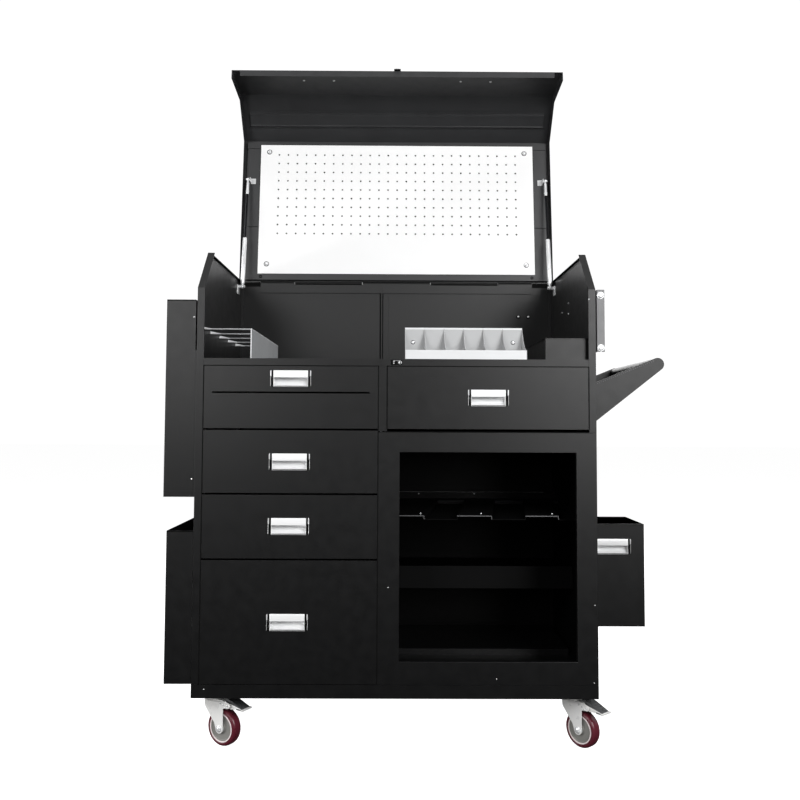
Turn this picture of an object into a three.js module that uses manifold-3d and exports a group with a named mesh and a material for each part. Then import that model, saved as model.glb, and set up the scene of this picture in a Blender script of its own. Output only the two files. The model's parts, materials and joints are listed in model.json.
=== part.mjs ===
// Rolling tool chest: steel cabinet with five drawers, an open bay, a deck under a
// hinged lid with a peg panel, three hung side boxes, a push handle and four casters.
// Millimetres. X runs to the right, Y from the front to the back, Z up.

import * as THREE from 'three';
import { mergeVertices } from 'three/addons/utils/BufferGeometryUtils.js';
import Module from 'manifold-3d';

const wasm = await Module();
wasm.setup();

// ---- driving dimensions -------------------------------------------------------------

const sheet = 1.5;             // body sheet metal
const thinSheet = 1.2;         // drawers, boxes and trays
const fit = 0.4;               // gap between pieces that touch
const halfWidth = 550;
const depth = 650;
const skirtBottom = 150;
const floorTop = 186;
const flangeWidth = 20;
const topReturn = 9;           // fold along the top of each side wall, clear of the strut
const slopeBottom = 1263.4;    // where the side walls start to lean back
const slopeDepth = 119;
const wallTop = 1384.6;
const deckTop = 1068;
const railBottom = 1048;
const stileLeft = -49.5;
const stileRight = -25.5;
const bayTop = 866;

const lidOpenAngle = 95.8;     // degrees from closed to the rest pose
const lidGap = 1;
const lidFrontDrop = 164;      // height of the front leaf of the lid
const lidFlange = 27;

const strutX = 533;
const strutFoot = { y: 580, z: 1360 };
const strutHead = { along: 375, inside: 25 };   // on the lid, from the hinge and from the skin
const strutTubeLength = 182;
const strutTubeRadius = 7.5;
const strutRodRadius = 4.5;

const swivelX = 500;
const frontSwivelY = 92;
const rearSwivelY = 570;
const wheelRadius = 50;
const wheelWidth = 30;
const trail = 32;
const pedalHinge = { x: 62, z: 116 };
const legInner = 20.5;         // from the middle of the wheel to each fork leg
const legThick = 2.5;

const rad = THREE.MathUtils.degToRad;

// ---- materials ----------------------------------------------------------------------

function material(color, roughness, metalness) {
  return new THREE.MeshStandardMaterial({ color, roughness, metalness });
}
const blackPaint = () => material(0x1b1c1f, 0.45, 0.1);
const innerPaint = () => material(0x232427, 0.5, 0.1);
const greySteel = () => material(0xc9cbcd, 0.4, 0.3);
const whitePaint = () => material(0xf1f2f2, 0.5, 0.0);
const aluminium = () => material(0xd9dbdc, 0.3, 0.8);
const chrome = () => material(0xc8cacc, 0.18, 1.0);
const darkRod = () => material(0x2a2b2d, 0.25, 0.9);
const zinc = () => material(0xb9bcbf, 0.3, 0.9);
const maroonTyre = () => material(0x7a1426, 0.35, 0.0);

// ---- solids -------------------------------------------------------------------------

function toSolid(geometry) {
  const bare = geometry.clone();
  bare.deleteAttribute('normal');
  bare.deleteAttribute('uv');
  const welded = mergeVertices(bare, 1e-4);
  const vertProperties = new Float32Array(welded.attributes.position.array);
  const triVerts = new Uint32Array(welded.index.array);
  return new wasm.Manifold(new wasm.Mesh({ numProp: 3, vertProperties, triVerts }));
}

function toGeometry(solid) {
  const mesh = solid.getMesh();
  const geometry = new THREE.BufferGeometry();
  geometry.setAttribute('position', new THREE.BufferAttribute(mesh.vertProperties, 3));
  geometry.setIndex(new THREE.BufferAttribute(mesh.triVerts, 1));
  geometry.computeVertexNormals();
  return geometry;
}

function join(...pieces) {
  const solids = pieces.map(toSolid);
  return toGeometry(solids.reduce((whole, solid) => whole.add(solid)));
}

function cut(piece, ...tools) {
  const solids = tools.map(toSolid);
  return toGeometry(solids.reduce((whole, solid) => whole.subtract(solid), toSolid(piece)));
}

function box(x0, x1, y0, y1, z0, z1) {
  const geometry = new THREE.BoxGeometry(x1 - x0, y1 - y0, z1 - z0);
  return geometry.translate((x0 + x1) / 2, (y0 + y1) / 2, (z0 + z1) / 2);
}

function flat(points) {
  return new THREE.Shape(points.map(([a, b]) => new THREE.Vector2(a, b)));
}

function extrude(shape, length, curveSegments = 12) {
  return new THREE.ExtrudeGeometry(shape, { depth: length, bevelEnabled: false, curveSegments });
}

// A shape drawn in Y and Z, drawn out along X.
function acrossX(shape, x0, x1) {
  const turn = new THREE.Matrix4().makeBasis(
    new THREE.Vector3(0, 1, 0), new THREE.Vector3(0, 0, 1), new THREE.Vector3(1, 0, 0));
  return extrude(shape, x1 - x0).applyMatrix4(turn).translate(x0, 0, 0);
}

// A shape drawn in X and Z, drawn out along Y.
function acrossY(shape, y0, y1) {
  return extrude(shape, y1 - y0).rotateX(Math.PI / 2).translate(0, y1, 0);
}

function acrossZ(shape, z0, z1) {
  return extrude(shape, z1 - z0).translate(0, 0, z0);
}

function barX(radius, x0, x1, y, z, sides = 24) {
  const geometry = new THREE.CylinderGeometry(radius, radius, x1 - x0, sides);
  return geometry.rotateZ(Math.PI / 2).translate((x0 + x1) / 2, y, z);
}

function barY(radius, y0, y1, x, z, sides = 24) {
  const geometry = new THREE.CylinderGeometry(radius, radius, y1 - y0, sides);
  return geometry.translate(x, (y0 + y1) / 2, z);
}

function barZ(radius, z0, z1, x, y, sides = 24) {
  const geometry = new THREE.CylinderGeometry(radius, radius, z1 - z0, sides);
  return geometry.rotateX(Math.PI / 2).translate(x, y, (z0 + z1) / 2);
}

function openTopBox(x0, x1, y0, y1, z0, z1, wall) {
  return cut(
    box(x0, x1, y0, y1, z0, z1),
    box(x0 + wall, x1 - wall, y0 + wall, y1 - wall, z0 + wall, z1 + wall));
}

const chest = new THREE.Group();

function add(parent, name, geometry, paint) {
  const mesh = new THREE.Mesh(geometry, paint);
  mesh.name = name;
  parent.add(mesh);
  return mesh;
}

// ---- cabinet ------------------------------------------------------------------------

function wallOutline(bottom, inset = 0) {
  return flat([
    [inset, bottom],
    [depth - inset, bottom],
    [depth - inset, wallTop - inset],
    [slopeDepth + inset * 0.4, wallTop - inset],
    [inset, slopeBottom - inset * 0.4],
  ]);
}

// One wall with a front flange, a wide return along the slope and a narrow one on top.
function sidePanel(side, frontFlangeBottom) {
  const past = 1;
  const rearReturn = 20;
  const inner = flangeWidth + sheet;
  const solidWall = acrossX(wallOutline(floorTop + fit), 0, flangeWidth);
  const hollow = acrossX(wallOutline(floorTop - sheet, sheet), sheet, inner);
  const lowHollow = box(sheet, inner, -past, depth + past, floorTop - past, deckTop);
  const rearHollow = box(sheet, inner, depth - rearReturn, depth + past, floorTop, wallTop + past);
  const topRoom = box(topReturn, inner, slopeDepth, depth + past, deckTop, wallTop + past);
  const shell = cut(solidWall, hollow, lowHollow, rearHollow, topRoom);
  const frontFlange = box(0, flangeWidth, 0, sheet, frontFlangeBottom, slopeBottom);
  const frameRoom = box(-past, flangeWidth + past, -past, sheet + fit,
    floorTop - past, frontFlangeBottom);
  const panel = cut(join(shell, frontFlange), frameRoom);
  if (side < 0) {
    return panel.translate(-halfWidth, 0, 0);
  }
  return toGeometry(toSolid(panel).mirror([1, 0, 0])).translate(halfWidth, 0, 0);
}

// Rear sheet with a raised seam strip down the middle of the part above the deck.
function backPanel() {
  const edge = halfWidth - sheet - fit;
  const top = wallTop - 10;
  const front = depth - 2 * sheet;
  const seam = { x0: -47, x1: -28, raised: 2.5, z0: deckTop + 2, z1: top - 40 };
  const panel = box(-edge, edge, front, depth - sheet, floorTop + fit, top);
  const strip = box(seam.x0, seam.x1, front - seam.raised, front + sheet / 2, seam.z0, seam.z1);
  return join(panel, strip);
}

// Folded base with a skirt all round, a box section for each caster and a raised step.
function basePan() {
  const past = 1;
  const shell = cut(
    box(-halfWidth, halfWidth, 0, depth, skirtBottom, floorTop),
    box(-halfWidth + sheet, halfWidth - sheet, sheet, depth - sheet,
      skirtBottom - past, floorTop - sheet));
  const plate = { halfX: 49, halfY: 44, thick: 3.5, web: 4, low: skirtBottom - 2.5 };
  const parts = [];
  for (const x of [-swivelX, swivelX]) {
    for (const y of [frontSwivelY, rearSwivelY]) {
      const [y0, y1] = [y - plate.halfY, y + plate.halfY];
      const [x0, x1] = [x - plate.halfX, x + plate.halfX];
      parts.push(box(x0, x1, y0, y1, plate.low, plate.low + plate.thick));
      parts.push(box(x0, x0 + plate.web, y0, y1, skirtBottom, floorTop - past));
      parts.push(box(x1 - plate.web, x1, y0, y1, skirtBottom, floorTop - past));
    }
  }
  const step = { x0: -24, x1: 530, front: 300, deep: 300, high: 18, wall: 2 };
  const tread = box(step.x0, step.x1, step.front, step.front + step.deep,
    floorTop - sheet / 2, floorTop + step.high);
  const under = box(step.x0 + step.wall, step.x1 - step.wall, step.front + step.wall,
    step.front + step.deep + past, floorTop, floorTop + step.high - step.wall);
  return cut(join(shell, ...parts, tread), under);
}

// Wall between the columns, with a stile that closes the gap between their fronts.
function centrePartition() {
  const [x0, x1] = [-38.5, -37];
  const foot = bayTop + 3;
  const head = railBottom - fit;
  const wall = box(x0, x1, sheet + fit, depth - 3 * sheet, floorTop + fit, head);
  const stile = box(stileLeft, stileRight, 0, sheet, foot, head);
  const web = box(x0, x1, 0, 5, foot, head);
  return join(wall, stile, web);
}

const strikePlate = { half: 15, z0: 1052, z1: 1064 };

function deck() {
  const past = 1;
  const edge = halfWidth - sheet - fit;
  const railEdge = halfWidth - flangeWidth - fit;
  const strip = 2.5;
  const plate = box(-edge, edge, sheet + fit, depth - 3 * sheet - strip,
    deckTop - sheet, deckTop);
  const rail = box(-railEdge, railEdge, 0, sheet, railBottom, deckTop);
  const corner = box(-railEdge, railEdge, 0, 2 * sheet + past, deckTop - sheet, deckTop);
  const half = strikePlate.half + 0.5;
  const lockSlot = box(-half, half, -past, 10, strikePlate.z0 - 0.5, strikePlate.z1 + 0.5);
  return cut(join(plate, rail, corner), lockSlot);
}

// Plate in the deck's front rail, with a slot that takes the tongue of the lid's lock.
function lockStrike() {
  const { half, z0, z1 } = strikePlate;
  const slot = { half: 8, edge: 4 };
  const plate = box(-half, half, 0.2, 0.2 + sheet, z0, z1);
  return cut(plate, box(-slot.half, slot.half, -1, 3, z0 + slot.edge, z1 - slot.edge));
}

function bayCeiling() {
  const edge = halfWidth - sheet - fit;
  return box(-36.6, edge, sheet + fit, depth - 3 * sheet, bayTop + 1, bayTop + 1 + sheet);
}

// Face frame round the open bay, with a return folded inwards.
function bayFaceFrame() {
  const opening = { x0: 9.7, x1: 494, z0: 248, z1: 812 };
  const back = 18;
  const plate = box(stileLeft, halfWidth, 0, sheet, floorTop + fit, bayTop);
  const ring = box(opening.x0 - sheet, opening.x1 + sheet, 0, back,
    opening.z0 - sheet, opening.z1 + sheet);
  return cut(join(plate, ring),
    box(opening.x0, opening.x1, -1, back + 1, opening.z0, opening.z1));
}

// Plate across the bay with shallow channels, open at the front, for tools held by the neck.
function bayToolRack() {
  const rack = { x0: -36.5, x1: 547.8, y0: 72, y1: 590, top: 634 };
  const channel = { deep: 12, lean: 62, endGap: 70, widths: [[80, 172], [270, 364], [458, 530]] };
  const frontEdge = 5;
  const rearLip = 22;
  const outline = ([x0, x1], grow, ahead) => flat([
    [x0 - grow, rack.y0 - ahead],
    [x1 + grow, rack.y0 - ahead],
    [Math.min(x1 + channel.lean, rack.x1 - 6) + grow, rack.y1 - channel.endGap + grow],
    [x0 + channel.lean - grow, rack.y1 - channel.endGap + grow]]);
  const bottom = rack.top - channel.deep;
  const walls = channel.widths.map((w) => acrossZ(outline(w, sheet, 0), bottom - sheet, rack.top));
  const hollows = channel.widths.map((w) => acrossZ(outline(w, 0, 2), bottom, rack.top + 1));
  const plate = box(rack.x0, rack.x1, rack.y0, rack.y1, rack.top - sheet, rack.top);
  const front = box(rack.x0, rack.x1, rack.y0, rack.y0 + sheet, rack.top - frontEdge, rack.top);
  const rear = box(rack.x0, rack.x1, rack.y1 - sheet, rack.y1, rack.top, rack.top + rearLip);
  return cut(join(plate, front, rear, ...walls), ...hollows);
}

// Shelf behind a deep front lip that also hangs below it.
function bayShelf() {
  const shelf = { x0: -36.5, x1: 545, y0: 300, y1: 640, top: 454, rise: 30, lip: 68 };
  const level = shelf.top - shelf.rise;
  const plate = box(shelf.x0, shelf.x1, shelf.y0, shelf.y1, level, level + sheet);
  const lip = box(shelf.x0, shelf.x1, shelf.y0, shelf.y0 + sheet,
    shelf.top - shelf.lip, shelf.top);
  return join(plate, lip);
}

// ---- drawers ------------------------------------------------------------------------

const leftColumn = { x0: -528, x1: -51 };
const rightColumn = { x0: -24, x1: 528.5 };
const pullSize = { width: 113, height: 46, depth: 22 };

const drawers = [
  { name: 'drawer_1', ...leftColumn, z0: 875.5, z1: 1046.5, pullX: -290.5, pullZ: 1012.5,
    slit: { x0: -506, x1: -73.5, z: 974, height: 4.4 } },
  { name: 'drawer_2', ...leftColumn, z0: 699.5, z1: 870.5, pullX: -291.5, pullZ: 784.5 },
  { name: 'drawer_3', ...leftColumn, z0: 522.5, z1: 694.5, pullX: -292, pullZ: 609.5 },
  { name: 'drawer_4', ...leftColumn, z0: 187.5, z1: 517.5, pullX: -293, pullZ: 352 },
  { name: 'drawer_5', ...rightColumn, z0: 875.5, z1: 1046.5, pullX: 253, pullZ: 961.5 },
];

const drawerBack = 600;
const runnerGap = 14;
const pullRoom = { x: 5, z: 3 };   // how far the pull's bezel covers the edge of its hole

// Hole through a front for the cup of a recessed pull.
function pullHole(x, y0, y1, z) {
  const halfW = pullSize.width / 2 - pullRoom.x;
  const halfH = pullSize.height / 2 - pullRoom.z;
  return box(x - halfW, x + halfW, y0, y1, z - halfH, z + halfH);
}

function drawer(d) {
  const foldDepth = 16;
  const body = { below: 10, above: 24 };
  const front = box(d.x0, d.x1, 0, sheet, d.z0, d.z1);
  const rim = cut(
    box(d.x0, d.x1, 0, foldDepth, d.z0, d.z1),
    box(d.x0 + sheet, d.x1 - sheet, sheet, foldDepth + 1, d.z0 + sheet, d.z1 - sheet));
  const tub = openTopBox(d.x0 + runnerGap, d.x1 - runnerGap, 1, drawerBack,
    d.z0 + body.below, d.z1 - body.above, thinSheet);
  const whole = cut(join(front, rim, tub), pullHole(d.pullX, -1, sheet + 4, d.pullZ));
  if (!d.slit) {
    return whole;
  }
  const half = d.slit.height / 2;
  return cut(whole, box(d.slit.x0, d.slit.x1, -1, 2 * sheet, d.slit.z - half, d.slit.z + half));
}

// Recessed finger pull: a bezel, a cup behind it and a lip across the upper half.
function recessedPull(centreX, frontY, centreZ) {
  const halfW = pullSize.width / 2;
  const halfH = pullSize.height / 2;
  const bezelFront = -2.4;
  const cupX = halfW - pullRoom.x - 0.5;
  const cupZ = halfH - pullRoom.z - 0.5;
  const wall = 1.5;
  const back = pullSize.depth - thinSheet;
  const lip = { y: 4, z: 1.5 };
  const bezel = box(-halfW, halfW, bezelFront, -fit, -halfH, halfH);
  const cup = box(-cupX, cupX, -1, pullSize.depth, -cupZ, cupZ);
  const finger = flat([
    [bezelFront - 1, -cupZ + wall],
    [back - 5, -cupZ + 10],
    [back, 0],
    [back, cupZ - wall],
    [lip.y, cupZ - wall],
    [lip.y, lip.z],
    [bezelFront - 1, lip.z]]);
  const hollow = acrossX(finger, -cupX + 2, cupX - 2);
  return cut(join(bezel, cup), hollow).translate(centreX, frontY, centreZ);
}

// Two ladders of slide rails tied together by a bar behind the drawers.
function runnerFrame(column, outerLeft, outerRight, low, high, levels) {
  const post = { width: 6, depth: 30, starts: [60, 585] };
  const rail = { high: 34, thick: 2, inset: 3, y0: 20, y1: 620 };
  const tie = { y: 611, thick: 2 };
  const left = column.x0 + runnerGap - fit;
  const right = column.x1 - runnerGap + fit;
  const parts = [];
  for (const y of post.starts) {
    parts.push(box(outerLeft, outerLeft + post.width, y, y + post.depth, low, high));
    parts.push(box(outerRight - post.width, outerRight, y, y + post.depth, low, high));
  }
  const webLeft = outerLeft + rail.inset;
  const webRight = outerRight - rail.inset;
  for (const z of levels) {
    parts.push(box(webLeft, webLeft + rail.thick, rail.y0, rail.y1, z, z + rail.high));
    parts.push(box(webLeft, left, rail.y0, rail.y1, z, z + rail.thick));
    parts.push(box(webRight - rail.thick, webRight, rail.y0, rail.y1, z, z + rail.high));
    parts.push(box(right, webRight, rail.y0, rail.y1, z, z + rail.thick));
  }
  const [lowest] = levels;
  parts.push(box(outerLeft + 1, outerRight - 1, tie.y, tie.y + tie.thick,
    lowest - 1, lowest + rail.high - rail.inset));
  return join(...parts);
}

// ---- lid ----------------------------------------------------------------------------

// The lid is drawn closed, with its hinge axis at the origin.
const lid = new THREE.Group();
lid.position.set(0, depth, wallTop);
lid.rotation.x = -rad(lidOpenAngle);

const lidPath = [
  [-6, 0],
  [slopeDepth - depth, 0],
  [-depth, slopeBottom - wallTop],
  [-depth, slopeBottom - wallTop - lidFrontDrop],
];

// Moves the lid's line outwards (positive) or inwards (negative) by a distance.
function lidLine(offset, rearY = lidPath[0][0], footLift = 0) {
  const corner = offset * Math.tan(Math.PI / 8);
  const [, top, knee, foot] = lidPath;
  return [
    [rearY, offset],
    [top[0] - corner, top[1] + offset],
    [knee[0] - offset, knee[1] + corner],
    [foot[0] - offset, foot[1] + footLift],
  ];
}

// A folded cover: skin, two cheeks and a lip along the foot of the front leaf.
function lidShell() {
  const inner = halfWidth + 0.8;
  const outer = inner + sheet;
  const lipHalf = 524;
  const lipDepth = 18;
  const foot = lidPath[3];
  const block = acrossX(
    flat([...lidLine(lidGap + sheet), ...lidLine(-lidFlange).reverse()]), -outer, outer);
  const hollow = acrossX(
    flat([...lidLine(lidGap, 5, sheet), ...lidLine(-lidFlange - 5, 5, sheet).reverse()]),
    -inner, inner);
  const low = foot[1] - 1;
  const high = foot[1] + sheet + 1;
  const edge = inner - 0.5;
  const front = foot[0] - lidGap / 2;
  const lipBack = foot[0] + lipDepth;
  const trims = [
    box(-edge, edge, lipBack, foot[0] + lidFlange + 5, low, high),
    box(-edge, -lipHalf, front, lipBack + 1, low, high),
    box(lipHalf, edge, front, lipBack + 1, low, high),
  ];
  return cut(block, hollow, ...trims);
}

const channel = { inner: 487, outer: 541, near: -30, far: -520, face: -9, upperFace: -6 };

// Channels up both sides in two lengths with a groove between them, a rail at the hinge
// and one at the far end.
function lidInnerFrame() {
  const groove = { y: -205, half: 1.3, floor: -2 };
  const top = lidGap - fit;
  const rail = { near: -9, far: -34, low: -12, high: -1.6 };
  const parts = [];
  for (const [x0, x1] of [[-channel.outer, -channel.inner], [channel.inner, channel.outer]]) {
    parts.push(box(x0, x1, groove.y + groove.half, channel.near, channel.face, top));
    parts.push(box(x0, x1, channel.far, groove.y - groove.half, channel.upperFace, top));
    parts.push(box(x0, x1, groove.y - 2, groove.y + 2, groove.floor, top));
  }
  parts.push(box(-channel.outer, channel.outer, rail.far, rail.near, rail.low, rail.high));
  parts.push(box(-channel.outer, channel.outer, channel.far - 4, channel.far + 20,
    channel.face, top));
  return join(...parts);
}

function pegPanel() {
  const panel = { halfWidth: 491, far: -511, near: -31, face: -12.6 };
  return box(-panel.halfWidth, panel.halfWidth, panel.far, panel.near,
    panel.face - thinSheet, panel.face);
}

const hinge = { half: 480, barrel: 4.5, knuckle: 120, sides: 12 };

// The lid's leaf of the long hinge, with its two knuckles.
function lidHingeLeaf() {
  const low = -1.2;
  const high = lidGap - fit;
  const leafFront = -24;
  const leafBack = -5.4;
  const half = hinge.knuckle - 1;
  const parts = [box(-hinge.half, hinge.half, leafFront, leafBack, low, high)];
  for (const x of [-2 * hinge.knuckle, 2 * hinge.knuckle]) {
    parts.push(barX(hinge.barrel, x - half, x + half, 0, 0, hinge.sides));
    parts.push(box(x - half, x + half, leafBack - 0.6, 0, low, high));
  }
  return join(...parts);
}

// The cabinet's leaf, with the three knuckles between and outside the lid's.
function cabinetHingeLeaf() {
  const back = depth - 2 * sheet - 2.6;
  const front = back - sheet;
  const leaf = { low: wallTop - 36, high: wallTop - 7 };
  const neck = { low: wallTop - 9, high: wallTop - 2.5 };
  const parts = [box(-hinge.half, hinge.half, front, back, leaf.low, leaf.high)];
  for (const x of [-3.5 * hinge.knuckle, 0, 3.5 * hinge.knuckle]) {
    const half = x === 0 ? hinge.knuckle : hinge.knuckle / 2;
    parts.push(barX(hinge.barrel, x - half, x + half, depth, wallTop, hinge.sides));
    parts.push(box(x - half, x + half, front, depth - 1, neck.low, neck.high));
  }
  return join(...parts);
}

const lockPlate = { half: 11, thick: 3, low: -9, high: 22, barrelZ: 8 };

function lidLock() {
  const foot = lidPath[3];
  const back = foot[0] - lidGap - sheet - fit;
  return box(-lockPlate.half, lockPlate.half, back - lockPlate.thick, back,
    foot[1] + lockPlate.low, foot[1] + lockPlate.high);
}

// Key barrel that turns in front of the lock plate.
function lockBarrel() {
  const foot = lidPath[3];
  const back = foot[0] - lidGap - sheet - fit - lockPlate.thick - fit;
  const z = foot[1] + lockPlate.barrelZ;
  const barrel = barY(8, back - 6, back, 0, z, 20);
  const keyway = box(-0.9, 0.9, back - 8, back - 3, z - 4.5, z + 4.5);
  return cut(barrel, keyway);
}

// ---- gas struts ---------------------------------------------------------------------

function strutGeometry() {
  const tilt = rad(90 - lidOpenAngle);
  const head = {
    y: depth - strutHead.along * Math.sin(tilt) - strutHead.inside * Math.cos(tilt),
    z: wallTop + strutHead.along * Math.cos(tilt) - strutHead.inside * Math.sin(tilt),
  };
  const dy = head.y - strutFoot.y;
  const dz = head.z - strutFoot.z;
  return { head, length: Math.hypot(dy, dz), lean: Math.atan2(dy, dz) };
}

const strut = strutGeometry();

const lowerEye = { radius: 6.5, bore: 2.9, pin: 2.5, half: 3.5 };
const upperEye = { radius: 6, bore: 2.5, pin: 2.1, half: 3.5 };

// Drawn upright with the lower pivot at the origin.
function strutTube() {
  const foot = 10;
  const boreFoot = 30;
  const shell = cut(
    barZ(strutTubeRadius, foot, strutTubeLength, 0, 0, 20),
    barZ(strutRodRadius + fit, boreFoot, strutTubeLength + 5, 0, 0, 12));
  const eye = barX(lowerEye.radius, -lowerEye.half, lowerEye.half, 0, 0, 16);
  const neck = barZ(4, 3, foot + 2, 0, 0, 12);
  return cut(join(shell, eye, neck), barX(lowerEye.bore, -6, 6, 0, 0, 12));
}

// Rod with a screwed end fitting and the upper eye.
function strutRod() {
  const inTube = 12;
  const fitting = { radius: 3.6, from: 58, to: 4.5 };
  const shaft = barZ(strutRodRadius, strutTubeLength - inTube, strut.length - fitting.from + 2,
    0, 0, 12);
  const end = barZ(fitting.radius, strut.length - fitting.from, strut.length - fitting.to,
    0, 0, 12);
  const eye = barX(upperEye.radius, -upperEye.half, upperEye.half, 0, strut.length, 16);
  return cut(join(shaft, end, eye), barX(upperEye.bore, -6, 6, 0, strut.length, 12));
}

function mirrored(geometry, side) {
  return side > 0 ? geometry : toGeometry(toSolid(geometry).mirror([1, 0, 0]));
}

// Plate on the wall, with a pin through the eye of the tube.
function lowerBracket(side) {
  const wallSide = halfWidth - sheet - fit;
  const { y, z } = strutFoot;
  const foot = { thick: 2, half: 16, below: 26, above: 6 };
  const plate = box(wallSide - foot.thick, wallSide, y - foot.half, y + foot.half,
    z - foot.below, z + foot.above);
  const pin = barX(lowerEye.pin, strutX - 9, wallSide, y, z, 12);
  const head = barX(5, strutX - 9, strutX - 5, y, z, 12);
  const collar = barX(6, strutX + 5, wallSide - 1, y, z, 12);
  return mirrored(join(plate, pin, head, collar), side);
}

// In the closed lid's frame: a foot on the side channel and a web that holds the pin.
function upperBracket(side) {
  const y = -strutHead.along;
  const z = -strutHead.inside;
  const webX = strutX - 9;
  const thick = 2;
  const seat = channel.upperFace - fit;
  const foot = box(webX - 16, webX + thick, y - 10, y + 10, seat - thick, seat);
  const web = box(webX, webX + thick, y - 7, y + 7, z - 6, seat - thick / 2);
  const pin = barX(upperEye.pin, webX + thick / 2, strutX + 7, y, z, 12);
  const head = barX(4, strutX + 4.5, strutX + 7, y, z, 12);
  return mirrored(join(foot, web, pin, head), side);
}

// ---- trays on the deck --------------------------------------------------------------

// An upright end plate with flat bars that reach to the wall, each with an upturned tip.
function bottleRack() {
  const rack = { x0: -547.6, x1: -403, y0: 20, y1: 551, top: 1152 };
  const bar = { count: 5, width: 12, thick: 3 };
  const tip = { length: 42, overlap: 4, high: 11, low: 8, thick: 3 };
  const parts = [
    box(rack.x1 - thinSheet, rack.x1, rack.y0, rack.y1, deckTop + fit, rack.top),
  ];
  const pitch = (rack.y1 - rack.y0 - bar.width) / (bar.count - 1);
  const tipEnd = rack.x0 + tip.length;
  const tipShape = flat([
    [rack.x0, rack.top - tip.low],
    [tipEnd - tip.overlap, rack.top - bar.thick],
    [tipEnd, rack.top - bar.thick],
    [tipEnd, rack.top],
    [rack.x0 + tip.length / 4, rack.top + tip.high],
    [rack.x0, rack.top + tip.high]]);
  for (let i = 0; i < bar.count; i += 1) {
    const y = rack.y0 + i * pitch;
    const middle = y + bar.width / 2;
    parts.push(box(tipEnd - tip.overlap, rack.x1 - thinSheet / 2, y, y + bar.width,
      rack.top - bar.thick, rack.top));
    parts.push(acrossY(tipShape, middle - tip.thick / 2, middle + tip.thick / 2));
  }
  return join(...parts);
}

const tray = { x0: 24.4, x1: 362.5, y0: 20, y1: 106, lip: 1094, top: 1166, bins: 6 };

function sixBinTray() {
  const foot = deckTop + fit;
  const parts = [
    box(tray.x0, tray.x1, tray.y0, tray.y1, foot, foot + thinSheet),
    box(tray.x0, tray.x1, tray.y0, tray.y0 + thinSheet, foot, tray.lip),
    box(tray.x0, tray.x1, tray.y1 - thinSheet, tray.y1, foot, tray.top),
  ];
  const outline = new THREE.Shape();
  outline.moveTo(tray.y0 + 0.5, foot);
  outline.lineTo(tray.y1 - 0.5, foot);
  outline.lineTo(tray.y1 - 0.5, tray.top);
  outline.quadraticCurveTo(tray.y1 - 28, tray.lip + 12, tray.y0 + 0.5, tray.lip);
  const pitch = (tray.x1 - tray.x0 - thinSheet) / tray.bins;
  for (let i = 0; i <= tray.bins; i += 1) {
    const x = tray.x0 + i * pitch;
    parts.push(acrossX(outline, x, x + thinSheet));
  }
  return join(...parts);
}

function tapeBox() {
  return openTopBox(414.5, 547.6, 20, 325, deckTop + fit, 1129.5, thinSheet);
}

// ---- boxes hung on the sides --------------------------------------------------------

// What hangs beside the lid stands off the wall, clear of the closed lid's cheek.
const standOff = halfWidth + 3.5;

function leftLocker() {
  const locker = { x0: -634, y0: 0, y1: 320, z0: 688, z1: 1229.5 };
  const pad = { inset: 10, z0: 700, z1: 1080 };
  const shell = openTopBox(locker.x0, -standOff, locker.y0, locker.y1,
    locker.z0, locker.z1, sheet);
  const spacer = box(-standOff - 1, -halfWidth - fit, locker.y0 + pad.inset,
    locker.y1 - pad.inset, pad.z0, pad.z1);
  return join(shell, spacer);
}

function leftBin() {
  return openTopBox(-623.5, -halfWidth - fit, 0, 320, 187.5, 597, sheet);
}

const rightBinFrame = { x0: 552, x1: 741, y0: 216, y1: 414, z0: 292, z1: 593.5 };
const rightBinPull = { x: 645, z: 527 };

function rightBin() {
  const b = rightBinFrame;
  const rim = { deep: 6, thick: 2 };
  const shell = openTopBox(b.x0, b.x1, b.y0, b.y1, b.z0, b.z1, thinSheet);
  const frontRim = box(b.x0, b.x1, b.y0, b.y0 + rim.deep, b.z1 - rim.thick, b.z1);
  return cut(join(shell, frontRim), pullHole(rightBinPull.x, b.y0 - 1, b.y0 + 5, rightBinPull.z));
}

// Z-shaped bracket by the front edge of the right wall.
function hangerBracket() {
  const bracket = { x1: 575, y1: 64, z0: 1090, z1: 1263 };
  const pad = { y0: 32, y1: 60, inset: 6 };
  const past = 2;
  const outer = box(standOff, bracket.x1, 0, bracket.y1, bracket.z0, bracket.z1);
  const hollow = box(standOff + sheet, bracket.x1 + past, sheet, bracket.y1 + past,
    bracket.z0 - past, bracket.z1 + past);
  const spacer = box(halfWidth + fit, standOff + 1, pad.y0, pad.y1,
    bracket.z0 + pad.inset, bracket.z1 - pad.inset);
  return join(cut(outer, hollow), spacer);
}

// ---- push handle --------------------------------------------------------------------

const grip = { x: 731, z: 1059, radius: 18, wall: 4, front: 35, back: 485 };
const handleFoot = { z0: 894, z1: 1005, thick: 3, width: 25 };

// Plate from the wall to a round eye that carries the bar.
function handlePlate(y0) {
  const shape = new THREE.Shape();
  const up = rad(115);
  const down = rad(-49);
  const wallX = halfWidth + fit;
  shape.moveTo(wallX, handleFoot.z0);
  shape.lineTo(grip.x + grip.radius * Math.cos(down), grip.z + grip.radius * Math.sin(down));
  shape.absarc(grip.x, grip.z, grip.radius, down, up, false);
  shape.lineTo(wallX, handleFoot.z1);
  const plate = acrossY(shape, y0, y0 + handleFoot.thick);
  const foot = box(wallX, wallX + handleFoot.thick, y0, y0 + handleFoot.width,
    handleFoot.z0, handleFoot.z1);
  const bore = barY(grip.radius - grip.wall + fit, y0 - 1, y0 + 4, grip.x, grip.z, 32);
  return cut(join(plate, foot), bore);
}

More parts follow.
